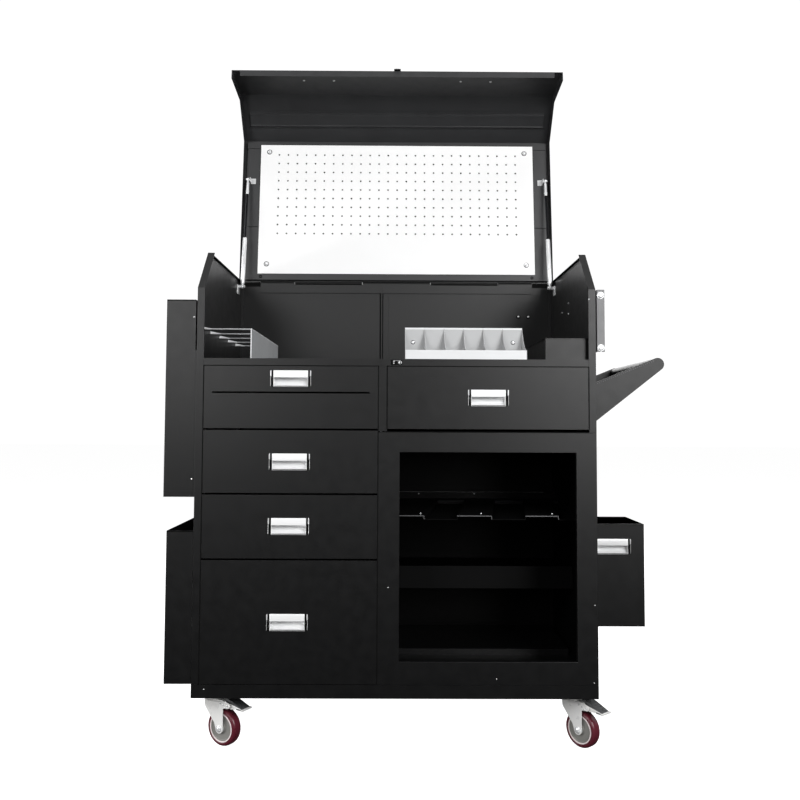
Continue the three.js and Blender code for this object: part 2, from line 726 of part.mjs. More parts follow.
// Tube with a wider sleeve between the two plates.
function handleBar() {
  const radius = grip.radius - grip.wall;
  const past = 1;
  const tube = barY(radius, grip.front - past, grip.back + handleFoot.thick + past,
    grip.x, grip.z, 32);
  const sleeve = barY(grip.radius - 1, grip.front + handleFoot.thick + 0.5, grip.back - 0.5,
    grip.x, grip.z, 32);
  const bore = barY(radius - 2, grip.front - 3, grip.back + 6, grip.x, grip.z, 24);
  return cut(join(tube, sleeve), bore);
}

// ---- casters ------------------------------------------------------------------------

const yokeTop = 127.5;
const earRadius = 8;

// Local frame: swivel axis at the origin, wheel trailing along +X.
function casterFork() {
  const front = -22;
  const legBack = trail + 13;
  const legOuter = legInner + legThick;
  const raceway = barZ(27, yokeTop - 0.5, skirtBottom - 3, 0, 0, 24);
  const top = box(front - 4, legBack + 7, -legOuter - 1, legOuter + 1, 119, yokeTop);
  const leg = new THREE.Shape();
  leg.moveTo(front, 127);
  leg.lineTo(pedalHinge.x - 6, 126);
  leg.absarc(pedalHinge.x, pedalHinge.z, earRadius, rad(75), rad(-80), true);
  leg.lineTo(legBack, pedalHinge.z - earRadius - 1);
  leg.lineTo(legBack, wheelRadius);
  leg.absarc(trail, wheelRadius, legBack - trail, 0, -Math.PI, true);
  leg.lineTo(trail - 18, 64);
  leg.lineTo(front, 112);
  const near = acrossY(leg, -legOuter, -legInner);
  const far = acrossY(leg, legInner, legOuter);
  const axle = barY(5.5, -29, 29, trail, wheelRadius, 12);
  const bolt = barZ(9, 117, 120, 0, 0, 12);
  return join(raceway, top, near, far, axle, bolt);
}

// Turned section: a hub, a thin web and a rim with a rounded tread.
function casterWheel() {
  const half = wheelWidth / 2;
  const web = half - 4;
  const hub = { bore: 6, radius: 14, half: half + 2 };
  const rim = 34;
  const near = [
    [hub.bore, hub.half],
    [hub.radius, hub.half],
    [hub.radius + 1, web],
    [rim - 3, web],
    [rim, half],
    [wheelRadius - 6, half],
    [wheelRadius - 1.5, half - 3.5],
    [wheelRadius, half - 8]];
  const far = near.map(([r, y]) => [r, -y]).reverse();
  const section = [...near, ...far, near[0]].map(([r, y]) => new THREE.Vector2(r, -y));
  return new THREE.LatheGeometry(section, 32);
}

// Foot pedal hinged on the yoke, drawn with its hinge axis at the origin.
function brakePedal() {
  const overYoke = yokeTop + 2 - pedalHinge.z;
  const halfArm = 16;
  const tread = { x0: 28, x1: 49, half: 19, z0: -6.8, z1: -4 };
  const side = flat([
    [-9, -7],
    [8, -9],
    [34, -5],
    [50, -8],
    [50, -4.8],
    [34, 2],
    [8, 13],
    [-10, overYoke + 4.5],
    [-22, overYoke + 3.5],
    [-22, overYoke],
    [-9, overYoke]]);
  const arm = acrossY(side, -halfArm, halfArm);
  const plate = box(tread.x0, tread.x1, -tread.half, tread.half, tread.z0, tread.z1);
  const pin = barY(3, -legInner + fit, legInner - fit, 0, 0, 12);
  return join(arm, plate, pin);
}

function addCaster(name, x, y, turn, withBrake) {
  const caster = new THREE.Group();
  caster.position.set(x, y, 0);
  caster.rotation.z = rad(turn);
  add(caster, `${name}_fork`, casterFork(), zinc());
  const wheel = add(caster, `${name}_wheel`, casterWheel(), maroonTyre());
  wheel.position.set(trail, 0, wheelRadius);
  if (withBrake) {
    const pedal = add(caster, `${name}_pedal`, brakePedal(), zinc());
    pedal.position.set(pedalHinge.x, 0, pedalHinge.z);
  }
  chest.add(caster);
}

// ---- assembly -----------------------------------------------------------------------

function addCabinet() {
  add(chest, 'left_side_panel', sidePanel(-1, floorTop + fit), blackPaint());
  add(chest, 'right_side_panel', sidePanel(1, bayTop + 0.5), blackPaint());
  add(chest, 'back_panel', backPanel(), innerPaint());
  add(chest, 'base_pan', basePan(), blackPaint());
  add(chest, 'centre_partition', centrePartition(), blackPaint());
  add(chest, 'deck', deck(), blackPaint());
  add(chest, 'lock_strike', lockStrike(), chrome());
  add(chest, 'bay_ceiling', bayCeiling(), innerPaint());
  add(chest, 'bay_face_frame', bayFaceFrame(), blackPaint());
  add(chest, 'bay_tool_rack', bayToolRack(), innerPaint());
  add(chest, 'bay_shelf', bayShelf(), innerPaint());
}

function addDrawers() {
  for (const d of drawers) {
    add(chest, d.name, drawer(d), blackPaint());
    add(chest, `${d.name}_pull`, recessedPull(d.pullX, 0, d.pullZ), aluminium());
  }
  const leftLevels = drawers.slice(0, 4).map((d) => d.z0 + 40);
  add(chest, 'left_runner_frame',
    runnerFrame(leftColumn, -546.5, -40, floorTop + 8, railBottom - 12, leftLevels), zinc());
  add(chest, 'right_runner_frame',
    runnerFrame(rightColumn, -35.5, 546.5, bayTop + 6, railBottom - 12,
      [drawers[4].z0 + 40]), zinc());
}

function addLid() {
  add(lid, 'lid_shell', lidShell(), blackPaint());
  add(lid, 'lid_inner_frame', lidInnerFrame(), innerPaint());
  add(lid, 'peg_panel', pegPanel(), whitePaint());
  add(lid, 'lid_hinge_leaf', lidHingeLeaf(), blackPaint());
  add(lid, 'lid_lock', lidLock(), blackPaint());
  add(lid, 'lock_barrel', lockBarrel(), chrome());
  add(lid, 'left_strut_upper_bracket', upperBracket(-1), chrome());
  add(lid, 'right_strut_upper_bracket', upperBracket(1), chrome());
  chest.add(lid);
  add(chest, 'cabinet_hinge_leaf', cabinetHingeLeaf(), blackPaint());
}

function addStruts() {
  for (const [name, side] of [['left', -1], ['right', 1]]) {
    add(chest, `${name}_strut_lower_bracket`, lowerBracket(side), chrome());
    const pair = new THREE.Group();
    pair.position.set(side * strutX, strutFoot.y, strutFoot.z);
    pair.rotation.x = -strut.lean;
    add(pair, `${name}_strut_tube`, strutTube(), chrome());
    add(pair, `${name}_strut_rod`, strutRod(), darkRod());
    chest.add(pair);
  }
}

function addTrays() {
  add(chest, 'bottle_rack', bottleRack(), greySteel());
  add(chest, 'six_bin_tray', sixBinTray(), greySteel());
  add(chest, 'tape_box', tapeBox(), blackPaint());
}

function addSideBoxes() {
  add(chest, 'left_locker', leftLocker(), blackPaint());
  add(chest, 'left_bin', leftBin(), blackPaint());
  add(chest, 'right_bin', rightBin(), blackPaint());
  add(chest, 'right_bin_pull',
    recessedPull(rightBinPull.x, rightBinFrame.y0, rightBinPull.z), aluminium());
  add(chest, 'side_hanger_bracket', hangerBracket(), blackPaint());
}

function addPushHandle() {
  add(chest, 'handle_front_plate', handlePlate(grip.front), blackPaint());
  add(chest, 'handle_rear_plate', handlePlate(grip.back), blackPaint());
  add(chest, 'handle_bar', handleBar(), blackPaint());
}

function addCasters() {
  addCaster('front_left_caster', -swivelX, frontSwivelY, -30.5, true);
  addCaster('front_right_caster', swivelX, frontSwivelY, -50, true);
  addCaster('rear_left_caster', -swivelX, rearSwivelY, 150, false);
  addCaster('rear_right_caster', swivelX, rearSwivelY, 35, false);
}

addCabinet();
addDrawers();
addLid();
addStruts();
addTrays();
addSideBoxes();
addPushHandle();
addCasters();

// The origin is under the middle of the whole object.
const bounds = new THREE.Box3().setFromObject(chest, true);
const centre = bounds.getCenter(new THREE.Vector3());
chest.position.set(-centre.x, -centre.y, -bounds.min.z);

export default chest;
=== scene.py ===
"""Looks for the rolling tool chest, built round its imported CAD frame.

Lengths are in millimetres inside the functions and in metres in the frame.
"""

import json
import math

import bmesh
import bpy
from mathutils import Matrix, Vector


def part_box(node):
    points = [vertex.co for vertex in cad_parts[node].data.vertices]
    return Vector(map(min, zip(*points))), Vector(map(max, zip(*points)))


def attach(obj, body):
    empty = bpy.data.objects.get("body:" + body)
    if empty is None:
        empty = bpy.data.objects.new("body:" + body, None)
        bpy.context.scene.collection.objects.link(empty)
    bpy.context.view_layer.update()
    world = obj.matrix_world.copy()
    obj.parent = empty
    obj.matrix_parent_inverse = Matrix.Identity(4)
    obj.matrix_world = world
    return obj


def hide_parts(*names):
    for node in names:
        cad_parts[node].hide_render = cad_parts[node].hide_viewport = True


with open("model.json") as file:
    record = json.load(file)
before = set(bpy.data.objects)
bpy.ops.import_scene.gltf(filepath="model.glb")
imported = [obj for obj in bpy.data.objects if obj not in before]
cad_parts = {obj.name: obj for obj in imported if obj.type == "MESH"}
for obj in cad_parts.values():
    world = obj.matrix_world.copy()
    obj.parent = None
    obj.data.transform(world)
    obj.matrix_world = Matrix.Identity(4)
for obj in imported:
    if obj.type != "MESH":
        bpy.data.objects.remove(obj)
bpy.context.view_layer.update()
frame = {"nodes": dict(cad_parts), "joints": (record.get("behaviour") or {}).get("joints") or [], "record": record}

MM = 0.001
JOINTS = {joint["name"]: joint for joint in frame["joints"]}
LID_ANGLE = math.radians(JOINTS["lid_hinge"]["range_deg"][1])
PAN_LOW, PAN_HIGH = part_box("base_pan")
SHEET = 1.5
THIN_SHEET = 1.2

# The drawing frame of the cabinet: X from its middle, Y from its front face, Z from the floor.
HALF_WIDTH = (PAN_HIGH.x - PAN_LOW.x) / 2 / MM
DEPTH = (PAN_HIGH.y - PAN_LOW.y) / MM
HOME = Matrix.Translation((PAN_LOW.x + HALF_WIDTH * MM, PAN_LOW.y, 0))
DECK_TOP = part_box("deck")[1].z / MM
FLOOR_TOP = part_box("left_side_panel")[0].z / MM


# ---- camera, floor and light ----


def add_camera():
    yaw, pitch, roll = math.radians(0.311), math.radians(3.204), math.radians(0.256)
    reach = math.cos(pitch)
    ahead = Vector((math.sin(yaw) * reach, math.cos(yaw) * reach, math.sin(pitch)))
    level = Vector((math.cos(yaw), -math.sin(yaw), 0))
    above = level.cross(ahead)
    right = level * math.cos(roll) + above * math.sin(roll)
    up = above * math.cos(roll) - level * math.sin(roll)
    data = bpy.data.cameras.new("camera")
    data.sensor_width = 36
    data.lens = 37.739
    data.shift_x = 0.0020
    data.shift_y = -0.0310
    camera = bpy.data.objects.new("camera", data)
    turn = Matrix((right, up, -ahead)).transposed().to_4x4()
    stand = HOME @ Vector((-0.0072, -2.3031, 0.8940))
    camera.matrix_world = Matrix.Translation(stand) @ turn
    bpy.context.scene.collection.objects.link(camera)
    bpy.context.scene.camera = camera


def add_softbox(name, place, target, width, height, power):
    data = bpy.data.lights.new(name, "AREA")
    data.shape = "RECTANGLE"
    data.size = width
    data.size_y = height
    data.energy = power
    light = bpy.data.objects.new(name, data)
    light.location = place
    light.rotation_euler = (Vector(target) - Vector(place)).to_track_quat("-Z", "Y").to_euler()
    bpy.context.scene.collection.objects.link(light)


def add_world():
    """White to the camera, and nearly dark to the paint, so that the softboxes shape it."""
    world = bpy.data.worlds.new("studio")
    bpy.context.scene.world = world
    world.use_nodes = True
    nodes, links = world.node_tree.nodes, world.node_tree.links
    backdrop = nodes["Background"]
    backdrop.inputs["Strength"].default_value = 1.05
    room = nodes.new("ShaderNodeBackground")
    room.inputs["Strength"].default_value = 0.02
    seen = nodes.new("ShaderNodeLightPath")
    mix = nodes.new("ShaderNodeMixShader")
    links.new(seen.outputs["Is Camera Ray"], mix.inputs["Fac"])
    links.new(room.outputs["Background"], mix.inputs[1])
    links.new(backdrop.outputs["Background"], mix.inputs[2])
    links.new(mix.outputs["Shader"], nodes["World Output"].inputs["Surface"])
    backdrop.inputs["Color"].default_value = (1, 1, 1, 1)
    room.inputs["Color"].default_value = (1, 1, 1, 1)


def add_floor():
    mesh = bpy.data.meshes.new("floor")
    half = 30
    corners = [(-half, -half, 0), (half, -half, 0), (half, half, 0), (-half, half, 0)]
    mesh.from_pydata(corners, [], [(0, 1, 2, 3)])
    floor = bpy.data.objects.new("floor", mesh)
    bpy.context.scene.collection.objects.link(floor)
    material = bpy.data.materials.new("floor_white")
    material.use_nodes = True
    shader = material.node_tree.nodes["Principled BSDF"]
    shader.inputs["Base Color"].default_value = (0.9, 0.9, 0.9, 1)
    shader.inputs["Roughness"].default_value = 0.9
    shader.inputs["Emission Color"].default_value = (1, 1, 1, 1)
    shader.inputs["Emission Strength"].default_value = 0.97
    mesh.materials.append(material)
    floor.visible_glossy = False
    floor.visible_diffuse = False


def add_lights():
    add_softbox("key_left", (-2.6, -3.2, 3.0), (0, 0, 1.2), 1.8, 1.8, 60)
    add_softbox("key_right", (2.6, -3.0, 2.4), (0, 0, 1.1), 1.6, 1.8, 70)
    add_softbox("top", (0, -0.6, 4.2), (0, 0.2, 1), 3.0, 2.0, 30)
    add_softbox("rim_left", (-3.4, 0.6, 1.8), (-0.5, 0, 0.9), 1.2, 2.4, 35)
    add_softbox("rim_right", (3.4, 0.6, 1.8), (0.5, 0, 0.9), 1.2, 2.4, 10)
    add_softbox("front_left", (-1.5, -3.6, 1.7), (-0.3, 0, 1.0), 0.8, 1.4, 20)
    add_softbox("front_right", (1.4, -3.6, 1.5), (0.3, 0, 1.0), 0.8, 1.4, 25)
    add_softbox("high_right", (1.6, -3.4, 2.6), (0.2, 0, 1.2), 1.2, 1.0, 40)
    add_softbox("low_left", (-2.8, -1.2, 0.3), (-0.2, -0.3, 0.1), 0.9, 0.5, 25)
    add_softbox("back", (0.8, 4.2, 2.6), (0, 0, 1), 2.4, 2.0, 50)


# ---- materials ----


def surface(name, colour, roughness, metallic=0.0, tint=0.08, swing=0.05,
            grain=1100, relief=0.03, stretch=(1, 1, 1), second=None, shine=0.5):
    """A shader whose colour, gloss and relief vary over the piece.

    tint is how far the colour varies, swing how far the roughness does, grain the
    number of bumps in a metre and stretch draws the grain out along an axis. second is
    the colour it drifts to, if not a lighter tint, and shine the strength of its gloss.
    """
    material = bpy.data.materials.new(name)
    material.use_nodes = True
    nodes, links = material.node_tree.nodes, material.node_tree.links
    shader = nodes["Principled BSDF"]
    shader.inputs["Metallic"].default_value = metallic
    shader.inputs["Specular IOR Level"].default_value = shine
    place = nodes.new("ShaderNodeTexCoord").outputs["Object"]
    drawn = nodes.new("ShaderNodeMapping")
    drawn.inputs["Scale"].default_value = stretch
    links.new(place, drawn.inputs["Vector"])

    def noise(scale, source, detail=3.0):
        node = nodes.new("ShaderNodeTexNoise")
        node.inputs["Scale"].default_value = scale
        node.inputs["Detail"].default_value = detail
        links.new(source, node.inputs["Vector"])
        return node.outputs["Fac"]

    def between(factor, low, high):
        node = nodes.new("ShaderNodeMapRange")
        node.inputs["From Min"].default_value = 0.3
        node.inputs["From Max"].default_value = 0.7
        node.inputs["To Min"].default_value = low
        node.inputs["To Max"].default_value = high
        links.new(factor, node.inputs["Value"])
        return node.outputs["Result"]

    patches, mottling = 9, 34      # noise scales, of the colour and of the gloss
    mix = nodes.new("ShaderNodeMix")
    mix.data_type = "RGBA"
    light = second or [min(1.0, c * (1 + tint)) for c in colour]
    mix.inputs["A"].default_value = (*[c * (1 - tint) for c in colour], 1)
    mix.inputs["B"].default_value = (*light, 1)
    links.new(between(noise(patches, place), 0.0, 1.0), mix.inputs["Factor"])
    links.new(mix.outputs["Result"], shader.inputs["Base Color"])
    spread = noise(mottling, drawn.outputs["Vector"])
    gloss = between(spread, roughness - swing, roughness + swing)
    links.new(gloss, shader.inputs["Roughness"])
    bump = nodes.new("ShaderNodeBump")
    bump.inputs["Strength"].default_value = 0.35
    bump.inputs["Distance"].default_value = relief * MM
    links.new(noise(grain, drawn.outputs["Vector"], 2.0), bump.inputs["Height"])
    links.new(bump.outputs["Normal"], shader.inputs["Normal"])
    return material


def make_paints():
    return {
        "black": surface("black_powder_coat", (0.0017, 0.00175, 0.0020), 0.40,
                         swing=0.025, relief=0.012),
        "inner": surface("inner_powder_coat", (0.0032, 0.0033, 0.0036), 0.46,
                         swing=0.025, relief=0.012),
        "bay": surface("bay_powder_coat", (0.0012, 0.0012, 0.0014), 0.50, swing=0.025,
                       relief=0.012, shine=0.16),
        "grey": surface("grey_powder_coat", (0.40, 0.41, 0.42), 0.42, tint=0.03, relief=0.03),
        # A paler copy of the greys, for edges and tips that face the lamps: painted highlight.
        "tray": surface("grey_coat_painted_highlight", (0.76, 0.77, 0.78), 0.40, tint=0.02, relief=0.03),
        "tray_inner": surface("tray_inside", (0.47, 0.475, 0.48), 0.55, tint=0.02, relief=0.03),
        "white": surface("white_powder_coat", (0.95, 0.95, 0.95), 0.5, tint=0.01, relief=0.02),
        "aluminium": surface("brushed_aluminium", (0.97, 0.975, 0.98), 0.30, 0.10, 0.01, 0.05,
                             700, 0.01, (0.06, 1, 1)),
        "chrome": surface("bright_chrome", (0.93, 0.94, 0.95), 0.18, 0.35, 0.03, 0.04, 300, 0.004),
        "plated": surface("bright_tube_plating", (0.92, 0.93, 0.94), 0.28, 0.35, 0.02, 0.05,
                          500, 0.006, (1, 1, 0.08)),
        "steel": surface("dark_rod_steel", (0.035, 0.036, 0.04), 0.20, 0.85, 0.1, 0.05,
                         900, 0.006, (1, 1, 0.08)),
        "zinc": surface("zinc_plate", (0.95, 0.95, 0.95), 0.30, 0.08, 0.04, 0.07, 240, 0.01,
                        second=(0.97, 0.96, 0.93)),
        # A dark copy of the pedal's zinc plating: painted shade.
        "pedal": surface("pedal_plate_painted_shade", (0.10, 0.102, 0.105), 0.30, 0.3, 0.16, 0.09,
                         240, 0.015),
        "galvanised": surface("galvanised_rail", (0.50, 0.51, 0.52), 0.34, 0.8, 0.12, 0.08,
                              120, 0.012),
        "tread": surface("maroon_tread", (0.125, 0.018, 0.030), 0.30, 0.0, 0.14, 0.07, 420, 0.04),
        "rim": surface("rim_ring", (0.95, 0.84, 0.84), 0.45, 0.0, 0.05, 0.05, 500, 0.03),
        "core": surface("wheel_core", (0.25, 0.245, 0.23), 0.5, 0.0, 0.06, 0.06, 600, 0.04),
        # Grey for thin strips and beads along edges that stand for their highlights: painted highlight.
        "edge_highlight_paint": surface("painted_edge_highlight", (0.16, 0.16, 0.165), 0.35, relief=0.012),
        "bracket": surface("bracket_plate", (0.14, 0.14, 0.145), 0.36, 0.0, 0.05, 0.05,
                           300, 0.01),
        # A lighter copy of the black coat, for the lid: painted light.
        "lid": surface("lid_coat_painted_light", (0.027, 0.0275, 0.029), 0.44, relief=0.02),
        # Black rubber for the real rubber parts, and also for dark strips and rings that stand for shade: painted
        # shade.
        "rubber_and_shade": surface("black_rubber", (0.0016, 0.0016, 0.0016), 0.7, 0.0, 0.12, 0.08,
                          800, 0.08, shine=0.12),
    }


# ---- mesh tools: everything is drawn in millimetres ----


def block(bm, x0, x1, y0, y1, z0, z1):
    """A closed box."""
    made = bmesh.ops.create_cube(bm, size=1.0)["verts"]
    bmesh.ops.scale(bm, vec=(x1 - x0, y1 - y0, z1 - z0), verts=made)
    bmesh.ops.translate(bm, vec=((x0 + x1) / 2, (y0 + y1) / 2, (z0 + z1) / 2), verts=made)
    return made


def spot(axis, a, b, h):
    return {"X": (h, a, b), "Y": (a, h, b), "Z": (a, b, h)}[axis]


def prism(bm, outline, low, high, axis="X"):
    """A closed prism whose outline lies across the axis."""
    near = [bm.verts.new(spot(axis, a, b, low)) for a, b in outline]
    far = [bm.verts.new(spot(axis, a, b, high)) for a, b in outline]
    bm.faces.new(near[::-1])
    bm.faces.new(far)
    for i, vert in enumerate(near):
        j = (i + 1) % len(near)
        bm.faces.new((vert, near[j], far[j], far[i]))
    return near + far


def arc(cx, cy, radius, start, end, steps):
    """Points on an arc, in degrees, with both ends."""
    turns = [math.radians(start + (end - start) * i / steps) for i in range(steps + 1)]
    return [(cx + radius * math.cos(t), cy + radius * math.sin(t)) for t in turns]


def rounded(x0, x1, y0, y1, radius, steps=5):
    """A rectangle with round corners, anticlockwise."""
    corners = [(x1, y0, -90), (x1, y1, 0), (x0, y1, 90), (x0, y0, 180)]
    points = []
    for x, y, start in corners:
        cx = x - radius if x == x1 else x + radius
        cy = y - radius if y == y1 else y + radius
        points += arc(cx, cy, radius, start, start + 90, steps)
    return points


def lathe(bm, profile, place=(0, 0, 0), axis="Y", segments=48, closed=False):
    """Turns (radius, height) points round an axis through place.

    A profile that is not closed starts and ends on the axis.
    """
    rings = []
    for radius, height in profile:
        count = segments if radius > 1e-6 else 1
        ring = []
        for i in range(count):
            t = 2 * math.pi * i / segments
            offset = Vector(spot(axis, radius * math.cos(t), radius * math.sin(t), height))
            ring.append(bm.verts.new(Vector(place) + offset))
        rings.append(ring)
    pairs = list(zip(rings, rings[1:]))
    if closed:
        pairs.append((rings[-1], rings[0]))
    for a, b in pairs:
        for i in range(segments):
            j = (i + 1) % segments
            corners = [a[i % len(a)], a[j % len(a)], b[j % len(b)], b[i % len(b)]]
            bm.faces.new(list(dict.fromkeys(corners)))
    return [vert for ring in rings for vert in ring]


def skin(bm, rings):
    """Closes a run of equal rings with walls between them and a cap at each end."""
    bm.faces.new(rings[0][::-1])
    bm.faces.new(rings[-1])
    for a, b in zip(rings, rings[1:]):
        for k in range(len(a)):
            m = (k + 1) % len(a)
            bm.faces.new((a[k], a[m], b[m], b[k]))


def tube(bm, points, radius, sides=16):
    """A round bar with capped ends along a list of points."""
    path = [Vector(p) for p in points]
    side = (path[1] - path[0]).orthogonal().normalized()
    rings = []
    for i, point in enumerate(path):
        ahead = (path[min(i + 1, len(path) - 1)] - path[max(i - 1, 0)]).normalized()
        side = (side - ahead * side.dot(ahead)).normalized()
        other = ahead.cross(side)
        rings.append([
            bm.verts.new(point + (side * math.cos(t) + other * math.sin(t)) * radius)
            for t in [2 * math.pi * k / sides for k in range(sides)]])
    skin(bm, rings)


def turned_to(direction):
    """The turn that takes +Y to a direction."""
    return Vector((0, 1, 0)).rotation_difference(Vector(direction)).to_matrix().to_4x4()


def stand_on(bm, made, place, direction):
    """Moves a head drawn on the origin to a place on a surface that faces direction."""
    turn = Matrix.Translation(place) @ turned_to(direction)
    bmesh.ops.transform(bm, matrix=turn, verts=made)


def button_head(bm, place, direction, radius=5.0, height=2.6):
    """A domed screw head with a hexagon socket, standing on a surface that faces direction."""
    sides = 24

    def ring(size, lift, six=0.0):
        verts = []
        for i in range(sides):
            t = 2 * math.pi * i / sides
            flat = math.cos(math.pi / 6) / math.cos((t % (math.pi / 3)) - math.pi / 6)
            r = size * (1 + six * (flat - 1))
            verts.append(bm.verts.new((r * math.cos(t), lift, r * math.sin(t))))
        return verts

    rings = [
        ring(radius, -0.2), ring(radius, height * 0.3), ring(radius * 0.86, height * 0.72),
        ring(radius * 0.62, height * 0.96), ring(radius * 0.42, height, 1.0),
        ring(radius * 0.42, height * 0.35, 1.0)]
    bm.faces.new(rings[0])
    bm.faces.new(rings[-1][::-1])
    for a, b in zip(rings, rings[1:]):
        for i in range(sides):
            j = (i + 1) % sides
            bm.faces.new((a[i], b[i], b[j], a[j]))
    stand_on(bm, [v for r in rings for v in r], place, direction)


def rivet(bm, place, direction, radius=3.2, height=1.3):
    """A low domed rivet head."""
    profile = [(0, height), (radius * 0.5, height * 0.86), (radius * 0.85, height * 0.5),
               (radius, 0.1), (radius, -0.2), (0, -0.2)]
    made = lathe(bm, profile, segments=20)
    stand_on(bm, made, place, direction)


def hexagon(bm, place, direction, across=13.0, height=6.5):
    """A chamfered hexagon nut or bolt head standing on a surface."""
    radius = across / math.sqrt(3)
    profile = [(0, height), (radius * 0.84, height), (radius, height * 0.84), (radius, 0), (0, 0)]
    made = lathe(bm, profile, segments=6)
    stand_on(bm, made, place, direction)


def washer(bm, place, direction, radius, height=1.6, bore=0.0):
    """A flat ring, or a disc without a bore, standing on a surface."""
    edge = min(0.4, height / 3)
    profile = [(bore, height), (radius - edge, height), (radius, height - edge), (radius, -0.1),
               (bore, -0.1)]
    made = lathe(bm, profile, segments=32, closed=bore > 0)
    stand_on(bm, made, place, direction)


def hem(bm, low, high, width=2.6, drop=4.0):
    """A folded edge round the open top of a box, inside its outline."""
    z0, z1 = high.z - drop, high.z + 0.05
    x0, x1, y0, y1 = low.x, high.x, low.y, high.y
    block(bm, x0, x1, y0, y0 + width, z0, z1)
    block(bm, x0, x1, y1 - width, y1, z0, z1)
    block(bm, x0, x0 + width, y0 + width, y1 - width, z0, z1)
    block(bm, x1 - width, x1, y0 + width, y1 - width, z0, z1)


def piece(name, bm, body, paint, slot, base=None, replaces=(), bevel=0.0, segments=2, smooth=32):
    """Turns a drawing in millimetres into a piece that rides on a body.

    base takes the drawing's origin and axes to the frame.
    """
    bmesh.ops.recalc_face_normals(bm, faces=bm.faces)
    bmesh.ops.transform(bm, matrix=(base or Matrix()) @ Matrix.Scale(MM, 4), verts=bm.verts)
    mesh = bpy.data.meshes.new(name)
    bm.to_mesh(mesh)
    bm.free()
    mesh.materials.append(PAINTS[paint])
    made = bpy.data.objects.new(name, mesh)
    bpy.context.scene.collection.objects.link(made)
    mesh.shade_smooth()
    if bevel:
        soften(made, bevel, segments)
    else:
        mesh.set_sharp_from_angle(angle=math.radians(smooth))
    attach(made, body)
    if replaces:
        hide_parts(*replaces)


def fixed(name, bm, paint, slot, *rest, **more):
    """A piece of the cabinet, drawn in the cabinet's own frame."""
    piece(name, bm, "cabinet", paint, slot, HOME, *rest, **more)


def soften(made, width, segments=2):
    """Rounds the edges, so that they catch the light."""
    edges = made.modifiers.new("edges", "BEVEL")
    edges.width = width * MM
    edges.segments = segments
    edges.limit_method = "ANGLE"
    edges.angle_limit = math.radians(30)
    flat = made.modifiers.new("flat_faces", "WEIGHTED_NORMAL")
    flat.weight = 100


def body_of(node):
    bodies = frame["record"]["behaviour"]["bodies"]
    return next(body for body, nodes in bodies.items() if node in nodes)


def from_cad(node):
    """A copy of a CAD node's mesh in millimetres, in the frame, with flat faces made whole."""
    bm = bmesh.new()
    bm.from_mesh(frame["nodes"][node].data)
    bmesh.ops.remove_doubles(bm, verts=bm.verts, dist=1e-6)
    bmesh.ops.dissolve_limit(bm, angle_limit=math.radians(0.6), verts=bm.verts, edges=bm.edges)
    bmesh.ops.scale(bm, vec=(1 / MM,) * 3, verts=bm.verts)
    return bm


def sheet_copy(node, paint, slot, bevel):
    """A CAD node's own shape with rounded edges and a finish."""
    piece(f"{node}_sheet", from_cad(node), body_of(node), paint, slot, replaces=(node,),
          bevel=bevel)


def home_box(node):
    """A node's lowest and highest corners in the cabinet's drawing frame."""
    low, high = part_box(node)
    back = HOME.inverted()
    return (back @ low) / MM, (back @ high) / MM


def corner_of(node):
    """The frame of a node's lowest corner, and its size in millimetres."""
    low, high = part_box(node)
    return Matrix.Translation(low), (high - low) / MM


def lid_base():
    """The frame of the lid as if it was closed: hinge axis at the origin, front towards -Y."""
    place = Vector(JOINTS["lid_hinge"]["pos_m"])
    return Matrix.Translation(place) @ Matrix.Rotation(-LID_ANGLE, 4, "X")


# ---- cabinet ----


def build_cabinet():
    for node in ("left_side_panel", "right_side_panel", "base_pan", "centre_partition", "deck",
                 "bay_face_frame"):
        sheet_copy(node, "black", "black_paint", 0.6)
    sheet_copy("back_panel", "inner", "inner_paint", 0.45)
    for node in ("bay_ceiling", "bay_tool_rack", "bay_shelf"):
        sheet_copy(node, "bay", "inner_paint", 0.45)
    for node in ("left_runner_frame", "right_runner_frame"):
        sheet_copy(node, "galvanised", "zinc_plate", 0.4)


def build_bay_lining():
    """Dark lining on the back, the side walls and the ceiling of the open bay."""
    clear, thick = 0.05, 0.3
    flange = 1.75                     # the back panel's folded edges, and a little clear of them
    left = home_box("centre_partition")[1].x + clear
    right = HALF_WIDTH - SHEET - clear
    wall = home_box("back_panel")[0].y - flange
    bottom = home_box("base_pan")[0].z + 30
    top = home_box("bay_ceiling")[0].z - clear
    front = 60
    lining = bmesh.new()
    block(lining, left, right, wall - thick, wall, bottom, top)
    block(lining, left, left + thick, front, wall, bottom, top)
    block(lining, right - thick, right, front, wall, bottom, top)
    block(lining, left, right, front, wall, top - thick, top)
    fixed("bay_lining", lining, "bay", "inner_paint")


def build_wall_ridge():
    """The seam of the back wall: a plain ridge between two flat dark strips, painted shade beside it."""
    wall_low, wall_high = home_box("back_panel")
    low, high = DECK_TOP + 0.5, wall_high.z - 6
    middle, ridge_half, shade_edge = -51.5, 2.0, 6.0
    sunk, proud = 0.2, 2.4
    seam_shade = bmesh.new()
    for x0, x1 in ((middle - shade_edge, middle - ridge_half),
                   (middle + ridge_half, middle + shade_edge)):
        block(seam_shade, x0, x1, wall_low.y - 0.5, wall_low.y + sunk, low, high)
    fixed("back_wall_grooves", seam_shade, "rubber_and_shade", "inner_paint")
    ridge = bmesh.new()
    block(ridge, middle - ridge_half, middle + ridge_half, wall_low.y - proud, wall_low.y + sunk,
          low, high)
    fixed("back_wall_ridge", ridge, "inner", "inner_paint", bevel=0.9)


